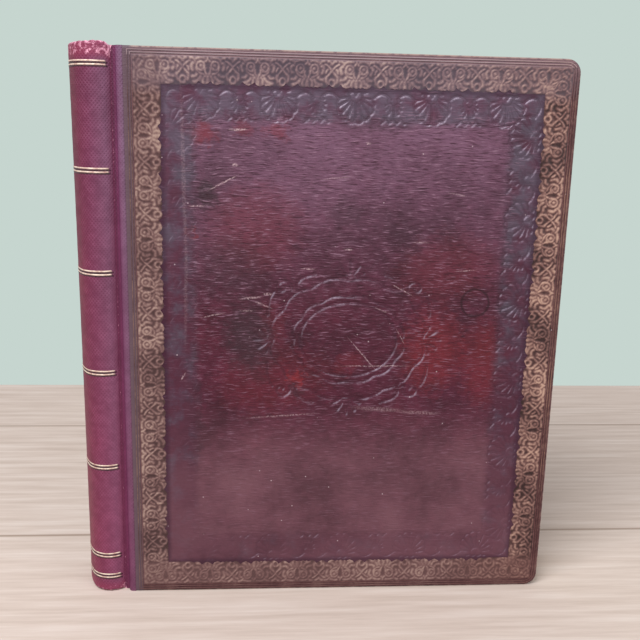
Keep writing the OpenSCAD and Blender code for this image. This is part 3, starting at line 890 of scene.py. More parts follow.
def ornament_lines():
    """A generic oval ornament: a scalloped oval, an inner oval, shells at the four ends and curls.

    The scallops follow radius = 1 + 0.06 * |sin 6a|, as in the source.
    """
    lines = []
    a = np.radians(np.arange(0, 361, 4))
    for w, h in ((38.0, 30.4), (27.4, 21.9)):
        k = 1 + 0.06 * np.abs(np.sin(6 * a))
        lines.append(np.column_stack([w * k * np.cos(a), h * k * np.sin(a)]))
    b = np.radians(np.arange(0, 361, 6))
    lines.append(np.column_stack([24.6 * np.cos(b), 19.2 * np.sin(b)]))
    for turn in range(4):
        cos, sin = round(math.cos(turn * math.pi / 2)), round(math.sin(turn * math.pi / 2))
        reach = 30.6 if turn % 2 == 0 else 38.2
        for tilt in (-64, -32, 0, 32, 64):
            way = np.array([math.sin(math.radians(tilt)), math.cos(math.radians(tilt))])
            rib = np.array([[0, reach] + way * 3.4, [0, reach] + way * (9.4 - abs(tilt) / 40)])
            lines.append(rib @ np.array([[cos, sin], [-sin, cos]]))
    for su in (-1, 1):
        for sv in (-1, 1):
            lines.append(curl(33.5, 26.5, 0.8, 4.6, 200, 560) * [su, sv])
            lines.append(bow((26.0, 24.5), (29.0, 31.5), (17.5, 33.5)) * [su, sv])
            lines.append(bow((38.2, 24.5), (41.5, 20.0), (41.0, 12.5)) * [su, sv])
    return lines


def side_places(x, z, low, high, pitch):
    """Folds a point inside a rectangle onto half a repeat of the border along its nearest side.

    v is the distance from the nearest side. u runs along that side, is taken within one repeat
    of it and then folded about the repeat's middle, so it lies between 0 and half a repeat.
    """
    gaps = np.stack([x - low[0], high[0] - x, z - low[1], high[1] - z])
    side = np.argmin(gaps, 0)
    v = gaps.min(0)
    lengths = np.array([high[1] - low[1], high[0] - low[0]])
    steps = lengths / np.round(lengths / pitch)
    vertical = side < 2
    along = np.where(vertical, z - low[1], x - low[0])
    step = np.where(vertical, steps[0], steps[1])
    u = np.abs(np.mod(along, step) - step / 2)
    return u / step * pitch, v


def tooled_panel(with_ornament):
    """The face of a cover inside the seam, with its blind tooling pressed in.

    A grid finer in the border than in the field gets its depth from the distance d to the
    nearest tool line: a pressed valley exp(-(d/w)^2), less a low lip beside it. A slow wave of
    0.05 mm keeps the face from being a perfect plane. The grid's rim drops to the board and is
    closed by one flat face.
    """
    depth, width = sizes().blind_depth, sizes().blind_line
    pitch = sizes().shell_pitch
    band = 17.5
    axes = []
    for k in (0, 1):
        low, high = PANEL_LOW[k], PANEL_HIGH[k]
        near = np.arange(0, band, 0.5)
        far = np.linspace(low + band, high - band, int((high - low - 2 * band) / 0.76))
        axes.append(np.concatenate([[SEAM_LOW[k]], low + near, far, high - near[::-1], [SEAM_HIGH[k]]]))
    x, z = np.meshgrid(axes[0], axes[1])
    u, v = side_places(x, z, PANEL_LOW, PANEL_HIGH, pitch)
    away = np.full(x.shape, 1e9)
    near_edge = (v < band + 0.5) & (v > 0.3)
    found = away[near_edge]
    for line in shell_lines(pitch / 2):
        found = np.minimum(found, polyline_distance(u[near_edge], v[near_edge], line))
    away[near_edge] = found
    # The tooling is crisp along the head, and worn down along the spine side and the tail
    strength = np.interp(z, [17, 60, 200, 250], [0.45, 0.5, 0.85, 1.0])
    strength *= np.interp(x, [-79, -60, -40, 105], [0.5, 0.55, 0.9, 1.0])
    press = np.exp(-((away / width) ** 2))
    lip = np.exp(-(((away - 1.9 * width) / (0.8 * width)) ** 2))
    if with_ornament:
        middle = (PANEL_LOW + PANEL_HIGH) / 2
        within = (np.abs(x - middle[0]) < 52) & (np.abs(z - middle[1]) < 46)
        found = np.full(within.sum(), 1e9)
        for line in ornament_lines():
            found = np.minimum(found, polyline_distance(x[within] - middle[0], z[within] - middle[1], line))
        wide = 1.15 * width
        press[within] = np.maximum(press[within], np.exp(-((found / wide) ** 2)))
        lip[within] = np.maximum(lip[within], np.exp(-(((found - 1.9 * wide) / (0.8 * wide)) ** 2)))
        strength[within] = 0.9
    strength *= 0.78 + 0.22 * smooth_noise(x, z, 30, 3)
    press *= strength
    lip *= strength
    inside = np.clip(v / 3, 0, 1)
    swell = smooth_noise(x, z, 60, 11) * 0.05 * inside
    relief = depth * press
    y = OUTER_Y + relief - 0.06 * lip + swell
    y[v < 0.3] = OUTER_Y
    # How much each point faces a light from above and the left: the leather's material paints a highlight
    # there
    slope = 0.85 * np.gradient(relief, axes[1], axis=0) - 0.5 * np.gradient(relief, axes[0], axis=1)
    rows, columns = x.shape
    points = np.column_stack([x.ravel(), y.ravel(), z.ravel()])
    faces = grid_faces(rows, columns)
    number = np.arange(rows * columns).reshape(rows, columns)
    rim = np.concatenate([number[0], number[1:, -1], number[-1, -2::-1], number[-2:0:-1, 0]])
    skirt = points[rim].copy()
    skirt[:, 1] = PARED_Y
    first = len(points)
    points = np.concatenate([points, skirt])
    low_rim = np.arange(first, first + len(rim))
    walls = np.stack([np.roll(rim, -1), rim, low_rim, np.roll(low_rim, -1)], 1)
    faces = faces + walls.tolist() + [low_rim[::-1].tolist()]
    values = {
        "press": np.concatenate([press.ravel(), np.zeros(len(rim))]),
        "slope": np.concatenate([slope.ravel(), np.zeros(len(rim))]),
    }
    return points, faces, values


# The roll border


def roll_unit():
    """Lines of half a repeat of the roll border: u from its middle, v inwards from its outer edge.

    Each line comes with its share of the full line width. On the repeat's axis two volutes with
    an eye stand over a palmette of lobes and two sweeping leaves. Between two repeats a pair of
    strands crosses and closes round a small ring at the inner edge.
    """
    end = ROLL_PITCH / 2
    return [
        (curl(3.3, 4.3, 0.1, 0.3, 0, 300), 1.5),
        (curl(3.3, 4.3, 1.6, 2.2, -250, 120), 1.15),
        (bow((1.4, 5.4), (1.6, 7.0), (0.6, 8.2)), 1.1),
        (bow((5.4, 5.2), (5.2, 7.6), (2.2, 8.2)), 1.2),
        (bow((0.0, 0.7), (0.0, 1.6), (1.0, 2.4)), 1.2),
        (bow((1.6, 0.9), (3.4, 0.5), (5.6, 1.3)), 1.35),
        (bow((6.1, 2.2), (6.4, 0.8), (8.3, 0.8)), 1.35),
        (bow((6.8, 3.1), (8.6, 3.6), (7.3, 6.3)), 1.6),
        (bow((8.6, 2.2), (10.2, 2.8), (end, 5.0)), 1.05),
        (bow((10.2, 0.8), (11.2, 0.9), (end, 2.2)), 1.4),
        (bow((end, 5.0), (10.9, 6.6), (9.5, 7.8)), 1.1),
        (bow((9.5, 7.8), (8.7, 9.0), (9.7, 10.6)), 1.5),
        (arc(end, 10.7, 1.45, 1.6, 90, 270), 1.15),
        (bow((9.9, 4.6), (9.2, 5.2), (9.0, 6.2)), 1.1),
        (bow((0.0, 9.4), (0.0, 10.8), (0.0, 12.1)), 2.3),
        (bow((1.5, 9.2), (2.7, 10.2), (2.3, 11.9)), 1.8),
        (bow((3.3, 9.3), (4.2, 11.4), (6.8, 11.7)), 1.7),
        (bow((6.8, 11.7), (5.2, 12.6), (4.0, 12.3)), 1.3),
        (bow((5.2, 8.2), (5.6, 9.6), (7.6, 9.3)), 1.5),
    ]


def roll_relief():
    """The roll border as one closed sheet: the tool's lines stand up from it as soft ridges.

    The height over one half repeat is worked out once as the largest exp(-(d / w)^2) over its
    lines, d being the distance to a line and w its half width. Rows of points from the outer
    edge to a scalloped inner edge take their height from it by the place along and across.
    """
    fine = 0.1
    table_u, table_v = np.meshgrid(np.arange(0, ROLL_PITCH / 2 + 0.2, fine), np.arange(0, ROLL_W + 0.2, fine))
    table = np.zeros(table_u.shape)
    for line, width in roll_unit():
        away = polyline_distance(table_u, table_v, line)
        table = np.maximum(table, np.exp(-((away / (width * sizes().gilt_line * 0.55)) ** 2)))

    size = ROLL_HIGH - ROLL_LOW
    corners = np.array([ROLL_LOW, [ROLL_HIGH[0], ROLL_LOW[1]], ROLL_HIGH, [ROLL_LOW[0], ROLL_HIGH[1]]])
    mitre = np.array([[1, 1], [-1, 1], [-1, -1], [1, -1]])
    inwards = np.array([[0, 1], [-1, 0], [0, -1], [1, 0]])
    rows = np.linspace(0, 1, 33)[:, None]
    parts = []
    for k in range(4):
        share = np.linspace(0, 1, int(size[k % 2] / 0.42), endpoint=False)
        start, end = corners[k], corners[(k + 1) % 4]
        outer = start + (end - start) * share[:, None]
        u, _ = side_places(outer[:, 0], outer[:, 1], ROLL_LOW, ROLL_HIGH, ROLL_PITCH)
        near_corner = np.clip((np.minimum(share, 1 - share) * size[k % 2] - ROLL_W) / 3, 0, 1)
        notch = np.interp(u, INNER_EDGE_U, INNER_EDGE_NOTCH) * near_corner
        straight = (mitre[k] + (mitre[(k + 1) % 4] - mitre[k]) * share[:, None]) * ROLL_W
        part = outer[None] + straight[None] * rows[..., None] - (notch * rows)[..., None] * inwards[k]
        parts.append(part)
    place = np.concatenate(parts, 1)
    u, v = side_places(place[..., 0], place[..., 1], ROLL_LOW, ROLL_HIGH, ROLL_PITCH)
    column, row = u / fine, np.clip(v / fine, 0, table.shape[0] - 1.01)
    c, r = column.astype(int), row.astype(int)
    fc, fr = column - c, row - r
    low = table[r, c] * (1 - fc) + table[r, c + 1] * fc
    high = table[r + 1, c] * (1 - fc) + table[r + 1, c + 1] * fc
    press = low * (1 - fr) + high * fr

    # How much each point faces a light from above and the left, from the change along two neighbouring grid
    # steps: the gilt's material paints a highlight on that side and shade on the other
    rise = sizes().gilt_height * press
    along = np.roll(place, -1, 1) - np.roll(place, 1, 1)
    across = np.gradient(place, axis=0)
    d_along = np.roll(rise, -1, 1) - np.roll(rise, 1, 1)
    d_across = np.gradient(rise, axis=0)
    area = along[..., 0] * across[..., 1] - along[..., 1] * across[..., 0]
    dx = (d_along * across[..., 1] - d_across * along[..., 1]) / area
    dz = (d_across * along[..., 0] - d_along * across[..., 0]) / area
    slope = np.clip(0.5 * dx - 0.85 * dz, -1, 1)

    y = OUTER_Y - 0.02 - rise
    foot = np.full((1, place.shape[1]), OUTER_Y + 0.1)
    y = np.concatenate([foot, y, foot])
    place = np.concatenate([place[:1], place, place[-1:]])
    points = np.column_stack([place[..., 0].ravel(), y.ravel(), place[..., 1].ravel()])
    values = {}
    for key, numbers in (("press", press), ("slope", slope)):
        values[key] = np.concatenate([foot * 0, numbers, foot * 0]).ravel()
    return points, grid_faces(*y.shape, wrap_rows=True, wrap_columns=True), values


def frame_strip(low, high, width, foot, top):
    """A closed flat frame: its outer rectangle runs from low to high and its sides are width wide.

    Its two fore-edge corners are rounded about the centres of the cover's own corners. Four
    loops of points (outer foot, outer top, inner top, inner foot) are joined round.
    """
    count = 960
    t = np.arange(count) / count * 4
    side = t.astype(int)
    s = t - side
    corners = np.array([[low[0], low[1]], [high[0], low[1]], [high[0], high[1]], [low[0], high[1]]])
    outer = corners[side] + (corners[(side + 1) % 4] - corners[side]) * s[:, None]
    shift = np.array([[1, 1], [-1, 1], [-1, -1], [1, -1]]) * width
    small = corners + shift
    inner = small[side] + (small[(side + 1) % 4] - small[side]) * s[:, None]
    middle = HEIGHT / 2
    for loop in (outer, inner):
        past_x = loop[:, 0] - (FORE_X - CORNER_R)
        past_z = np.abs(loop[:, 1] - middle) - (middle - CORNER_R)
        turned = (past_x > 0) & (past_z > 0)
        shrink = np.maximum(past_x, past_z)[turned] / np.hypot(past_x, past_z)[turned]
        loop[turned, 0] = FORE_X - CORNER_R + past_x[turned] * shrink
        out_z = middle - CORNER_R + past_z[turned] * shrink
        loop[turned, 1] = middle + np.sign(loop[turned, 1] - middle) * out_z
    loops = []
    for loop, y in ((outer, foot), (outer, top), (inner, top), (inner, foot)):
        loops.append(np.column_stack([loop[:, 0], np.full(count, y), loop[:, 1]]))
    return np.concatenate(loops), grid_faces(4, count, wrap_rows=True, wrap_columns=True)


def joined(parts):
    """Several (points, faces) pairs as one."""
    points, faces, first = [], [], 0
    for p, f in parts:
        points.append(p)
        faces += [[n + first for n in face] for face in f]
        first += len(p)
    return np.concatenate(points), faces


# Shapes of the spine


def spine_plan(angle_stop, count):
    """Centres, radii and outward angles along the spine's plan, from the front groove to the back.

    The plan is the front shoulder arc, the large back arc and the back shoulder arc, sampled at
    even distances along the outer surface. The last value returned is that distance.
    """
    shoulder = SHOULDER_R * (angle_stop - math.pi - BACK_ANGLE)
    back = BACK_R * 2 * BACK_ANGLE
    s = np.linspace(0, 2 * shoulder + back, count)
    front = s < shoulder
    rear = s > shoulder + back
    angle = math.pi + BACK_ANGLE - (s - shoulder) / BACK_R
    angle = np.where(front, angle_stop - s / SHOULDER_R, angle)
    angle = np.where(rear, math.pi - BACK_ANGLE - (s - shoulder - back) / SHOULDER_R, angle)
    cx = np.where(front | rear, SHOULDER_X, BACK_X)
    cy = np.where(front, -SHOULDER_Y, np.where(rear, SHOULDER_Y, 0.0))
    r = np.where(front | rear, SHOULDER_R, BACK_R)
    return cx, cy, r, angle, s


def back_bulge(s, z):
    """How far the hollow back has come out of true: up to 1.9 mm at the head, less at the tail.

    It is nothing at the two grooves and full over the middle of the plan.
    """
    whole = 2 * SHOULDER_R * (GROOVE_ANGLE - math.pi - BACK_ANGLE) + BACK_R * 2 * BACK_ANGLE
    middle = np.sin(math.pi * np.clip(s / whole, 0, 1)) ** 2
    return (0.3 + 1.6 * np.clip(z / HEIGHT, 0, 1) ** 1.6) * middle


def on_spine(plan, depth):
    """Points at a depth under the spine's outer surface: centre + (radius - depth) * direction."""
    cx, cy, r, angle, _ = plan
    return cx + (r - depth) * np.cos(angle), cy + (r - depth) * np.sin(angle)


def spine_skin():
    """The spine leather: one closed section of depth and height, carried along the spine's plan.

    The section runs up the outer face, round the head cap, down the turned-in part, back round
    the card and down the inner face to the same at the tail. The caps' tops and the outer face
    move by a smooth noise, as worn leather does, and nothing comes inside the leaves' sides.
    """
    plan = spine_plan(GROOVE_ANGLE, 150)
    s = plan[4]
    cap = 1.75
    wall = SPINE_WALL
    card = wall + 1.5
    turn = np.linspace(0, math.pi, 13)
    # Points lie closer together over the last 14 mm at the tail and the head
    near = 14
    low = np.linspace(cap, near, 12)[:-1]
    high = np.linspace(HEIGHT - near, HEIGHT - cap, 12)[1:]
    up = np.concatenate([low, np.linspace(near, HEIGHT - near, 100), high])
    outer = np.column_stack([np.zeros(len(up)), up])
    head_cap = np.column_stack([cap - cap * np.cos(turn), HEIGHT - cap + cap * np.sin(turn)])[1:]
    inside = np.array(
        [
            [2 * cap, HEIGHT - 15],
            [card, HEIGHT - 15],
            [card, HEIGHT - 2 * cap],
            [wall, HEIGHT - 2 * cap],
        ]
    )
    mirrored = (inside * [1, -1] + [0, HEIGHT])[::-1]
    tail_cap = (head_cap * [1, -1] + [0, HEIGHT])[::-1]
    section = np.concatenate([outer, head_cap, inside, mirrored, tail_cap[:-1]])
    depth = np.repeat(section[:, 0:1], len(s), 1)
    z = np.repeat(section[:, 1:2], len(s), 1)
    seed = sizes().seed
    s2 = np.broadcast_to(s[None, :], depth.shape)
    along_s = smooth_noise(s2, z, 9, seed)
    low_noise = smooth_noise(s2, z, 3.5, seed + 1)
    outer_face = (section[:, 0:1] < 0.01) * 1.0
    from_foot = np.minimum(s2, s2.max() - s2)
    fade = np.clip(from_foot / 6, 0, 1)
    depth = depth + outer_face * fade * 0.09 * (along_s + 0.4 * low_noise + 1)
    # The caps are pressed down and knocked: lower in the middle of their length by up to 0.9 mm
    near_cap = np.clip((np.abs(z - HEIGHT / 2) - HEIGHT / 2 + 3.5) / 3.5, 0, 1)
    worn = 0.45 + 0.35 * smooth_noise(s2, z * 0, 7, seed + 2) + 0.3 * smooth_noise(s2, z * 0, 2.4, seed + 3)
    rubbed_zone = np.clip((z - HEIGHT + 8) / 3, 0, 1) * 0.42 + np.clip((6 - z) / 3, 0, 1) * 0.36
    # At the head the cap stands up in a low dome, and at the tail its outer corner is knocked in
    half = s2.max() / 2
    side = np.abs(s2 / half - 1)
    dome = (1.4 + 1.5 * side**2 + 0.4 * smooth_noise(s2, z * 0, 5, seed + 4)) * (1 - side**16)
    dome *= np.clip((z - HEIGHT + 12) / 12, 0, 1)
    knock = 2.6 * np.exp(-(((s2 - half) / 7) ** 2)) * near_cap * (z < HEIGHT / 2)
    z = z - np.sign(z - HEIGHT / 2) * near_cap * worn * 0.9 * fade + dome + knock
    depth = depth - back_bulge(s2, z)
    x, y = on_spine(plan, depth)
    # The leaves' sides lie inside this distance from the middle
    flank = 15.85
    held = (x > SHOULDER_X) & (np.abs(y) < flank)
    y = np.where(held, np.sign(y) * flank, y)
    x[:, 0] = x[:, -1] = JOINT_X
    depth_end = np.minimum(section[:, 0], -GROOVE_Y - flank)
    y[:, 0] = GROOVE_Y + depth_end
    y[:, -1] = -GROOVE_Y - depth_end
    rubbed = np.maximum(near_cap * 0.52, rubbed_zone) + 0.12 * np.clip(1 - from_foot / 3, 0, 1)
    rows, columns = depth.shape
    points = np.column_stack([x.ravel(), y.ravel(), z.ravel()])
    faces = grid_faces(rows, columns, wrap_rows=True)
    first = np.arange(rows) * columns
    faces += [first.tolist(), (first + columns - 1)[::-1].tolist()]
    flat_map = np.column_stack([s2.ravel(), z.ravel()])
    return points, faces, {"rubbed": rubbed.ravel()}, flat_map


def spine_ring(z, half, height, stop, foot=-0.02):
    """A low rounded band round the spine at one height: a domed section carried along the plan."""
    columns = 90
    plan = spine_plan(GROOVE_ANGLE - math.radians(stop), columns)
    # The dome's shoulders lie at 0.8 of its half width and of its height
    up, out = height * 0.8, half * 0.8
    section = np.array([[-foot, -half], [-up, -out], [-height, 0], [-up, out], [-foot, half]])
    skipped = SHOULDER_R * math.radians(stop)
    depth = section[:, 0:1] - back_bulge(plan[4] + skipped, z)[None, :]
    x, y = on_spine(plan, depth)
    wander = 0.12 * smooth_noise(plan[4], plan[4] * 0, 20, int(z))
    heights = z + section[:, 1:2] + wander[None, :]
    points = np.column_stack([x.ravel(), y.ravel(), heights.ravel()])
    first = np.arange(len(section)) * columns
    faces = grid_faces(len(section), columns, wrap_rows=True)
    faces += [first.tolist(), (first + columns - 1)[::-1].tolist()]
    return points, faces


def joint_skin():
    """The newer leather from the spine's foot across the groove and over the board's edge.

    A closed section in plan is carried up the height: the outer side runs along the groove's
    floor, up the board's edge in a quarter circle and along the board to the old leather; the
    inner side follows the board, and at head and tail it closes over the board's ends.
    """
    arc_x, arc_y = BOARD_X + 1.4, BOARD_Y + 1.4
    turn = np.radians(np.linspace(180, 270, 9))
    floor = bow((JOINT_X, GROOVE_Y), (BOARD_X - 0.5, GROOVE_Y + 0.1), (BOARD_X - 0.5, GROOVE_Y - 1.4), 12)
    rim = np.column_stack([arc_x + 1.9 * np.cos(turn), arc_y + 1.9 * np.sin(turn)])
    strip = np.column_stack([np.linspace(arc_x, RAW_X, 5)[1:], np.full(4, PARED_Y)])
    outer = np.concatenate([floor, rim, strip])
    board = np.column_stack([arc_x + 1.4 * np.cos(turn), arc_y + 1.4 * np.sin(turn)])[::-1]
    inner = np.concatenate([[[RAW_X, BOARD_Y]], board, [[BOARD_X, INNER_Y + 0.02], [JOINT_X, INNER_Y]]])
    closed_x = np.interp(np.arange(12), [0, 1, 10, 11], [RAW_X, RAW_X, BOARD_X, JOINT_X])
    closed = np.column_stack([closed_x, np.full(12, INNER_Y)])
    between = np.linspace(1.5, HEIGHT - 1.5, 90)
    heights = np.concatenate([[0, 0.8, 0.81], between, [HEIGHT - 0.81, HEIGHT - 0.8, HEIGHT]])
    path = np.concatenate([[0], np.cumsum(np.hypot(*np.diff(outer, axis=0).T))])
    around = np.concatenate([path, np.full(12, path[-1])])
    from_foot = np.clip(path / 1.5, 0, 1)
    from_rim = np.clip((path[-1] - path) / 2, 0, 1)
    points, unrolled = [], []
    for z in heights:
        end = z <= 0.8 or z >= HEIGHT - 0.8
        ring = np.concatenate([outer, closed if end else inner])
        ring[: len(outer), 1] += 0.07 * smooth_noise(path, path * 0 + z, 12, 21) * from_foot * from_rim
        points.append(np.column_stack([ring[:, 0], ring[:, 1], np.full(len(ring), z)]))
        unrolled.append(np.column_stack([around, np.full(len(ring), z)]))
    rows, columns = len(heights), len(outer) + 12
    faces = [f[::-1] for f in grid_faces(rows, columns, wrap_columns=True)]
    faces += [list(range(columns)), list(range((rows - 1) * columns, rows * columns))[::-1]]
    points = np.concatenate(points)
    spread = np.concatenate(unrolled)
    near_foot = np.exp(-((spread[:, 0] - 0.4) / 0.5) ** 2) * 0.38
    ends = np.clip(1 - np.minimum(points[:, 2], HEIGHT - points[:, 2]) / 2.0, 0, 1) * 0.35
    return points, faces, {"rubbed": near_foot + ends}, spread


def silk_wound_band(z):
    """An end band: a thin tube round the leaves' back whose radius swells at every silk winding.

    The radius is 1.2 mm times 0.88 + 0.12 * |sin(pi s / pitch)|, s being the distance along.
    """
    pitch = sizes().winding_pitch
    around = 10
    core_depth = 5.7
    plan = spine_plan(1.5 * math.pi, 330)
    s = plan[4]
    turn = np.linspace(0, 2 * math.pi, around, endpoint=False)[:, None]
    r = BAND_R * (0.88 + 0.12 * np.abs(np.sin(math.pi * s / pitch)))[None, :]
    depth = core_depth + r * np.cos(turn)
    x, y = on_spine(plan, depth)
    heights = z + r * np.sin(turn)
    columns = len(s)
    points = np.column_stack([x.ravel(), y.ravel(), heights.ravel()])
    first = np.arange(around) * columns
    faces = [f[::-1] for f in grid_faces(around, columns, wrap_rows=True)]
    faces += [first[::-1].tolist(), (first + columns - 1).tolist()]
    winding = np.broadcast_to((s / pitch)[None, :], depth.shape).ravel()
    return points, faces, np.column_stack([winding, heights.ravel()])


# Operators


class ALBUM_OT_old_leather(bpy.types.Operator):
    """Makes the old covering leather of both covers, with its blind tooling."""

    bl_idname = "album.old_leather"
    bl_label = "Old leather"

    def execute(self, context):
        marks = {"red": RED_PATCHES, "grey": GREY_PATCHES, "scuffs": SCUFFS, "rings": [WATER_RING]}
        few = {"red": RED_PATCHES[5:], "grey": GREY_PATCHES[4:], "scuffs": SCUFFS[6:8], "rings": []}
        leather = {
            "front": old_goatskin("glazed_goatskin_front", marks, (0, 0, 0)),
            "back": old_goatskin("glazed_goatskin_back", few, (430, 90, 510)),
        }
        points, faces = leather_frame()
        for piece in both_covers("cover_rim", points, faces, leather, smooth=True):
            side = piece.name.split("_")[0]
            piece.data.set_sharp_from_angle(angle=math.radians(35))
            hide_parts(f"{side}_cover_leather")
        for side in ("front", "back"):
            points, faces, values = tooled_panel(side == "front")
            if side == "back":
                points, faces = turned_over(points, faces)
            piece = make_mesh(f"{side}_cover_panel", points, faces, leather[side], True, values)
            piece.data.set_sharp_from_angle(angle=math.radians(60))
            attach(piece, f"{side}_cover")
            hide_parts(f"{side}_cover_leather")
        return {"FINISHED"}


class ALBUM_OT_roll_border(bpy.types.Operator):
    """Makes the gilt roll border of both covers and the two fillets outside it."""

    bl_idname = "album.roll_border"
    bl_label = "Gilt roll border"

    def execute(self, context):
        stops = [(0.15, rgba("#2e1c1e")), (0.36, rgba("#4e3637")), (0.58, rgba("#785b59"))]
        gilt = worn_gilt("worn_gold_leaf", -0.75, stops + [(0.9, colour("gilt"))])
        stops = [(0.35, rgba("#4a3032")), (0.5, rgba("#634a48")), (0.7, rgba("#84685f"))]
        dull = worn_gilt("rubbed_fillet_leaf", -0.5, stops)
        points, faces, values = roll_relief()
        for piece in both_covers("roll_relief", points, faces, gilt, True, values):
            side = piece.name.split("_")[0]
            piece.data.set_sharp_from_angle(angle=math.radians(60))
            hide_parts(f"{side}_gilt_tooling")
        top = OUTER_Y - sizes().gilt_height
        fillets = [
            frame_strip(ROLL_LOW - out, ROLL_HIGH + out, 0.4, OUTER_Y + 0.1, top)
            for out in (1.25, 2.5)
        ]
        points, faces = joined(fillets)
        for piece in both_covers("gilt_fillets", points, faces, dull, smooth=False):
            side = piece.name.split("_")[0]
            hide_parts(f"{side}_gilt_tooling")
        return {"FINISHED"}


class ALBUM_OT_spine(bpy.types.Operator):
    """Makes the rounded spine leather with its worn caps and gilt rules."""

    bl_idname = "album.spine"
    bl_label = "Spine"

    def execute(self, context):
        points, faces, values, flat_map = spine_skin()
        leather = new_goatskin("plated_goatskin_spine", None)
        skin = make_mesh("spine_skin", points, faces, leather, True, values, flat_map)
        skin.data.set_sharp_from_angle(angle=math.radians(50))
        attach(skin, "text_block")
        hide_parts("spine_leather")

        rules = [spine_ring(z + side * RULE_STEP / 2, 0.36, 0.1, 14) for z in RULE_PAIRS for side in (-1, 1)]
        points, faces = joined(rules)
        # The rules' pale colour is partly a painted reflection of the gold leaf's shine
        gilt = plain_material(
            "bright_gold_leaf",
            colour("bright_gilt"),
            rgba("#b98f86"),
            2.2,
            0.45,
            0.05,
            Metallic=0.15,
        )
        piece = make_mesh("spine_rules", points, faces, gilt)
        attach(piece, "text_block")
        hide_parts("spine_gilt_rules")

        lines = [spine_ring(z, 0.4, 0.04, 8) for z in RULE_PAIRS]
        lines += [spine_ring(z - RULE_STEP / 2 - 0.75, 0.35, 0.03, 8) for z in RULE_PAIRS]
        points, faces = joined(lines)
        burnt = plain_material("burnt_goatskin", rgba("#4a2434"), rgba("#2a141c"), 1.5, 0.45, 0.05)
        piece = make_mesh("spine_burnt_lines", points, faces, burnt)
        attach(piece, "text_block")
        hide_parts("spine_gilt_rules")
        return {"FINISHED"}


class ALBUM_OT_joints(bpy.types.Operator):
    """Makes the leather of the two joints, between the spine and the covers."""

    bl_idname = "album.joints"
    bl_label = "Joints"

    def execute(self, context):
        # Colours across the joint from the spine's foot: painted shade darkens the groove's floor, and a
        # painted highlight lightens the board's rounded edge, before the grey of the old leather's raw edge
        stops = [
            (0.0, rgba("#6a2448")),
            (0.07, rgba("#501a38")),
            (0.2, rgba("#6c3054")),
            (0.4, rgba("#764466")),
            (0.75, rgba("#72546e")),
            (0.95, rgba("#5a4454")),
        ]
        leather = new_goatskin("plated_goatskin_joint", stops)
        points, faces, values, flat_map = joint_skin()
        for side, sign in (("front", 1), ("back", -1)):
            p, f = (points, faces) if side == "front" else turned_over(points, faces)
            piece = make_mesh(f"{side}_joint_skin", p, f, leather, True, values, flat_map)
            piece.data.set_sharp_from_angle(angle=math.radians(50))
            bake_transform(piece)
            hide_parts(f"{side}_joint_leather")
        return {"FINISHED"}


class ALBUM_OT_end_bands(bpy.types.Operator):
    """Makes the silk-wound bands at the head and the tail of the leaves' back."""

    bl_idname = "album.end_bands"
    bl_label = "End bands"

    def execute(self, context):
        # Silk wound over a core: red and cream turns alternate, each with a soft sheen
        material, tree, bsdf = start_material("wound_silk", Roughness=0.38, Sheen_Weight=0.3)
        place = add(tree, "UVMap", uv_map="unrolled")
        turns = add(tree, "SeparateXYZ", [place], out="X")
        pair = add(tree, "Math", [turns, 4.0], operation="MODULO")
        which = add(tree, "Math", [pair, 2.0], operation="GREATER_THAN")
        thread = add(tree, "TexNoise", {"Vector": object_mm(tree), "Scale": 2.5, "Detail": 3})
        cream = add(tree, "ValToRGB", [thread], stops=[(0.3, rgba("#b59a5c")), (0.7, rgba("#dcc890"))])
        red = add(tree, "ValToRGB", [thread], stops=[(0.3, rgba("#6a2030")), (0.7, rgba("#964050"))])
        shade = add(tree, "Mix", {0: which, 6: cream, 7: red}, **RGBA)
        tree.links.new(shade, bsdf.inputs["Base Color"])
        bump = add(tree, "Bump", {"Strength": 0.4, "Distance": 0.0001, "Height": thread})
        tree.links.new(bump, bsdf.inputs["Normal"])
        for name, z in (("head", HEIGHT - LEAF_INSET + BAND_R), ("tail", LEAF_INSET - BAND_R)):
            points, faces, flat_map = silk_wound_band(z)
            piece = make_mesh(f"{name}_silk", points, faces, material, True, None, flat_map)
            piece.data.set_sharp_from_angle(angle=math.radians(60))
            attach(piece, "text_block")
            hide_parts(f"{name}_band")
        return {"FINISHED"}


class ALBUM_OT_carried_parts(bpy.types.Operator):
    """Gives the boards, leaves, pastedowns, tapes and linings of the frame their materials."""

    bl_idname = "album.carried_parts"
    bl_label = "Boards, leaves and linings"

    def execute(self, context):
        millboard = plain_material("millboard", rgba("#a3967a"), rgba("#857859"), 1.6, 0.85, 0.08)
        endpaper = plain_material("laid_endpaper", rgba("#d8ccb2"), rgba("#cfc2a4"), 40, 0.8, 0.02)
        linen = plain_material("linen_tape", rgba("#d9cfb4"), rgba("#b5a888"), 0.5, 0.9, 0.05, (1, 1, 3))
        mull = plain_material("mull_cloth", rgba("#cfc6ae"), rgba("#a79d83"), 0.7, 0.9, 0.08)
        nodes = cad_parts
        for name, material in (
            ("front_board", millboard),
            ("back_board", millboard),
            ("spine_card", millboard),
            ("front_pastedown", endpaper),
            ("back_pastedown", endpaper),
            ("front_tape_slips", linen),
            ("back_tape_slips", linen),
            ("sewing_tapes", linen),
            ("spine_lining", mull),
            ("page_block", card_leaves()),
        ):
            nodes[name].data.materials.clear()
            nodes[name].data.materials.append(material)
        return {"FINISHED"}


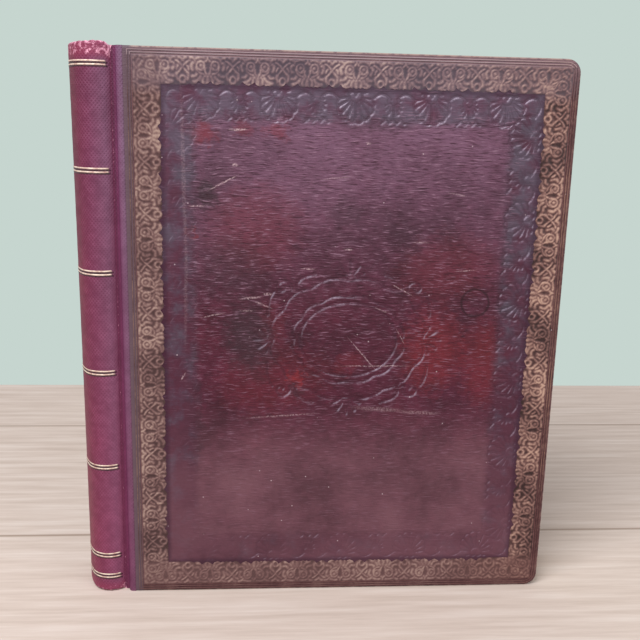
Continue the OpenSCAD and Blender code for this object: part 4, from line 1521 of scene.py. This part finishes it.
def card_leaves():
    """Thick card leaves, cut smooth and browned at the edges.

    It gives the eye a cream edge with a fine layered grain along the leaves and soft brown spots.
    """
    material, tree, bsdf = start_material("aged_card_leaves", Roughness=0.82)
    place = object_mm(tree)
    layers = add(tree, "Mapping", {"Vector": place, "Scale": (0.006, 4.0, 0.006)})
    layers = add(tree, "TexNoise", {"Vector": layers, "Scale": 1.0, "Detail": 4})
    foxing = add(tree, "TexNoise", {"Vector": place, "Scale": 1 / 7, "Detail": 5, "Roughness": 0.7})
    shade = add(tree, "ValToRGB", [layers], stops=[(0.3, rgba("#bba980")), (0.6, colour("paper"))])
    spots = add(tree, "MapRange", [foxing, 0.6, 0.8, 0, 0.22])
    shade = add(tree, "Mix", {0: spots, 6: shade, 7: rgba("#a98a5c")}, **RGBA)
    tree.links.new(shade, bsdf.inputs["Base Color"])
    bump = add(tree, "Bump", {"Strength": 0.5, "Distance": 0.0001, "Height": layers})
    tree.links.new(bump, bsdf.inputs["Normal"])
    return material


class ALBUM_OT_stage(bpy.types.Operator):
    """Makes the table, the soft studio light with its pale backdrop, and the camera."""

    bl_idname = "album.stage"
    bl_label = "Stage"

    def execute(self, context):
        # A pale table of planks. Its far edge lies 345 mm behind the album
        far_edge = 345
        half_plank, first_gap = 95.0, 45.0
        x, y = np.meshgrid(np.linspace(-3000, 3000, 7), np.linspace(-2500, far_edge, 5))
        points = np.column_stack([x.ravel(), y.ravel(), 0 * x.ravel()])
        material, tree, bsdf = start_material("limed_board", Roughness=0.9)
        place = object_mm(tree)
        drawn = add(tree, "Mapping", {"Vector": place, "Scale": (0.01, 0.16, 0.1)})
        grain = add(tree, "TexNoise", {"Vector": drawn, "Scale": 1.0, "Detail": 6, "Roughness": 0.65})
        stops = [(0.3, rgba("#bfaea3")), (0.5, rgba("#cdbdb3")), (0.72, rgba("#dacdc5"))]
        shade = add(tree, "ValToRGB", [grain], stops=stops)
        across = add(tree, "SeparateXYZ", [place], out="Y")
        shifted = add(tree, "Math", [across, first_gap], operation="SUBTRACT")
        folded = add(tree, "Math", [shifted, half_plank], operation="PINGPONG")
        gap = add(tree, "MapRange", [folded, 0.4, 1.8, 0.7, 0.0])
        shade = add(tree, "Mix", {0: gap, 6: shade, 7: rgba("#8a7666")}, **RGBA)
        tree.links.new(shade, bsdf.inputs["Base Color"])
        table = make_mesh("limed_table", points, grid_faces(5, 7), material)

        world = bpy.data.worlds.new("studio")
        world.use_nodes = True
        tree = world.node_tree
        end = tree.nodes["World Output"]
        light = tree.nodes["Background"]
        light.inputs[0].default_value = (1.0, 1.0, 1.0, 1)
        light.inputs[1].default_value = 0.55
        wall = add(tree, "Background", [rgba("#c6d5cf"), 1.0])
        seen = add(tree, "LightPath", out="Is Camera Ray")
        both = add(tree, "MixShader", [seen, light.outputs[0], wall])
        tree.links.new(both, end.inputs[0])
        context.scene.world = world

        for name, at, aim, size, power in (
            ("key", (-500, -700, 1150), (0, 0, 150), 700, 17.0),
            ("fill", (900, -900, 500), (0, 0, 140), 900, 5.0),
        ):
            data = bpy.data.lights.new(name, "AREA")
            data.shape = "SQUARE"
            data.size = size * M
            data.energy = power
            lamp = bpy.data.objects.new(name, data)
            lamp.location = Vector(at) * M
            way = Vector(aim) - Vector(at)
            lamp.rotation_euler = way.to_track_quat("-Z", "Y").to_euler()
            context.scene.collection.objects.link(lamp)

        # The camera: turned, tilted down and rolled a little, as the picture was taken
        yaw, pitch, roll = 0.0786, 0.2307, 0.0253
        stand = Vector((-34.8, -446.3, 250.4)) * M
        ahead = Vector((math.sin(yaw) * math.cos(pitch), math.cos(yaw) * math.cos(pitch), -math.sin(pitch)))
        right = Vector((math.cos(yaw), -math.sin(yaw), 0))
        up = right.cross(ahead)
        rolled_right = math.cos(roll) * right + math.sin(roll) * up
        rolled_up = -math.sin(roll) * right + math.cos(roll) * up
        data = bpy.data.cameras.new("camera")
        data.sensor_width = 36
        data.lens = 48.94
        data.clip_start = 0.01
        camera = bpy.data.objects.new("camera", data)
        columns = (rolled_right, rolled_up, -ahead)
        turned = Matrix([[c[i] for c in columns] for i in range(3)])
        camera.matrix_world = Matrix.Translation(stand) @ turned.to_4x4()
        context.scene.collection.objects.link(camera)
        context.scene.camera = camera
        context.scene.view_settings.view_transform = "Standard"
        return {"FINISHED"}


OPERATORS = (
    ALBUM_OT_old_leather,
    ALBUM_OT_roll_border,
    ALBUM_OT_spine,
    ALBUM_OT_joints,
    ALBUM_OT_end_bands,
    ALBUM_OT_carried_parts,
    ALBUM_OT_stage,
)


class ALBUM_PT_sidebar(bpy.types.Panel):
    """Lists the album's sizes, colours and operators."""

    bl_idname = "ALBUM_PT_sidebar"
    bl_label = "Leather Album"
    bl_space_type = "VIEW_3D"
    bl_region_type = "UI"
    bl_category = "Album"

    def draw(self, context):
        for group in (context.scene.album_sizes, context.scene.album_colours):
            column = self.layout.column(align=True)
            for key in group.__annotations__:
                column.prop(group, key)
        for operator in OPERATORS:
            self.layout.operator(operator.bl_idname)


CLASSES = (AlbumSizes, AlbumColours, *OPERATORS, ALBUM_PT_sidebar)


def register():
    for cls in CLASSES:
        bpy.utils.register_class(cls)
    bpy.types.Scene.album_sizes = PointerProperty(type=AlbumSizes)
    bpy.types.Scene.album_colours = PointerProperty(type=AlbumColours)


def unregister():
    del bpy.types.Scene.album_colours
    del bpy.types.Scene.album_sizes
    for cls in reversed(CLASSES):
        bpy.utils.unregister_class(cls)


def main():
    """Registers the classes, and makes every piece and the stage."""
    register()
    bpy.ops.album.old_leather()
    bpy.ops.album.roll_border()
    bpy.ops.album.spine()
    bpy.ops.album.joints()
    bpy.ops.album.end_bands()
    bpy.ops.album.carried_parts()
    bpy.ops.album.stage()


if __name__ == "__main__":
    main()
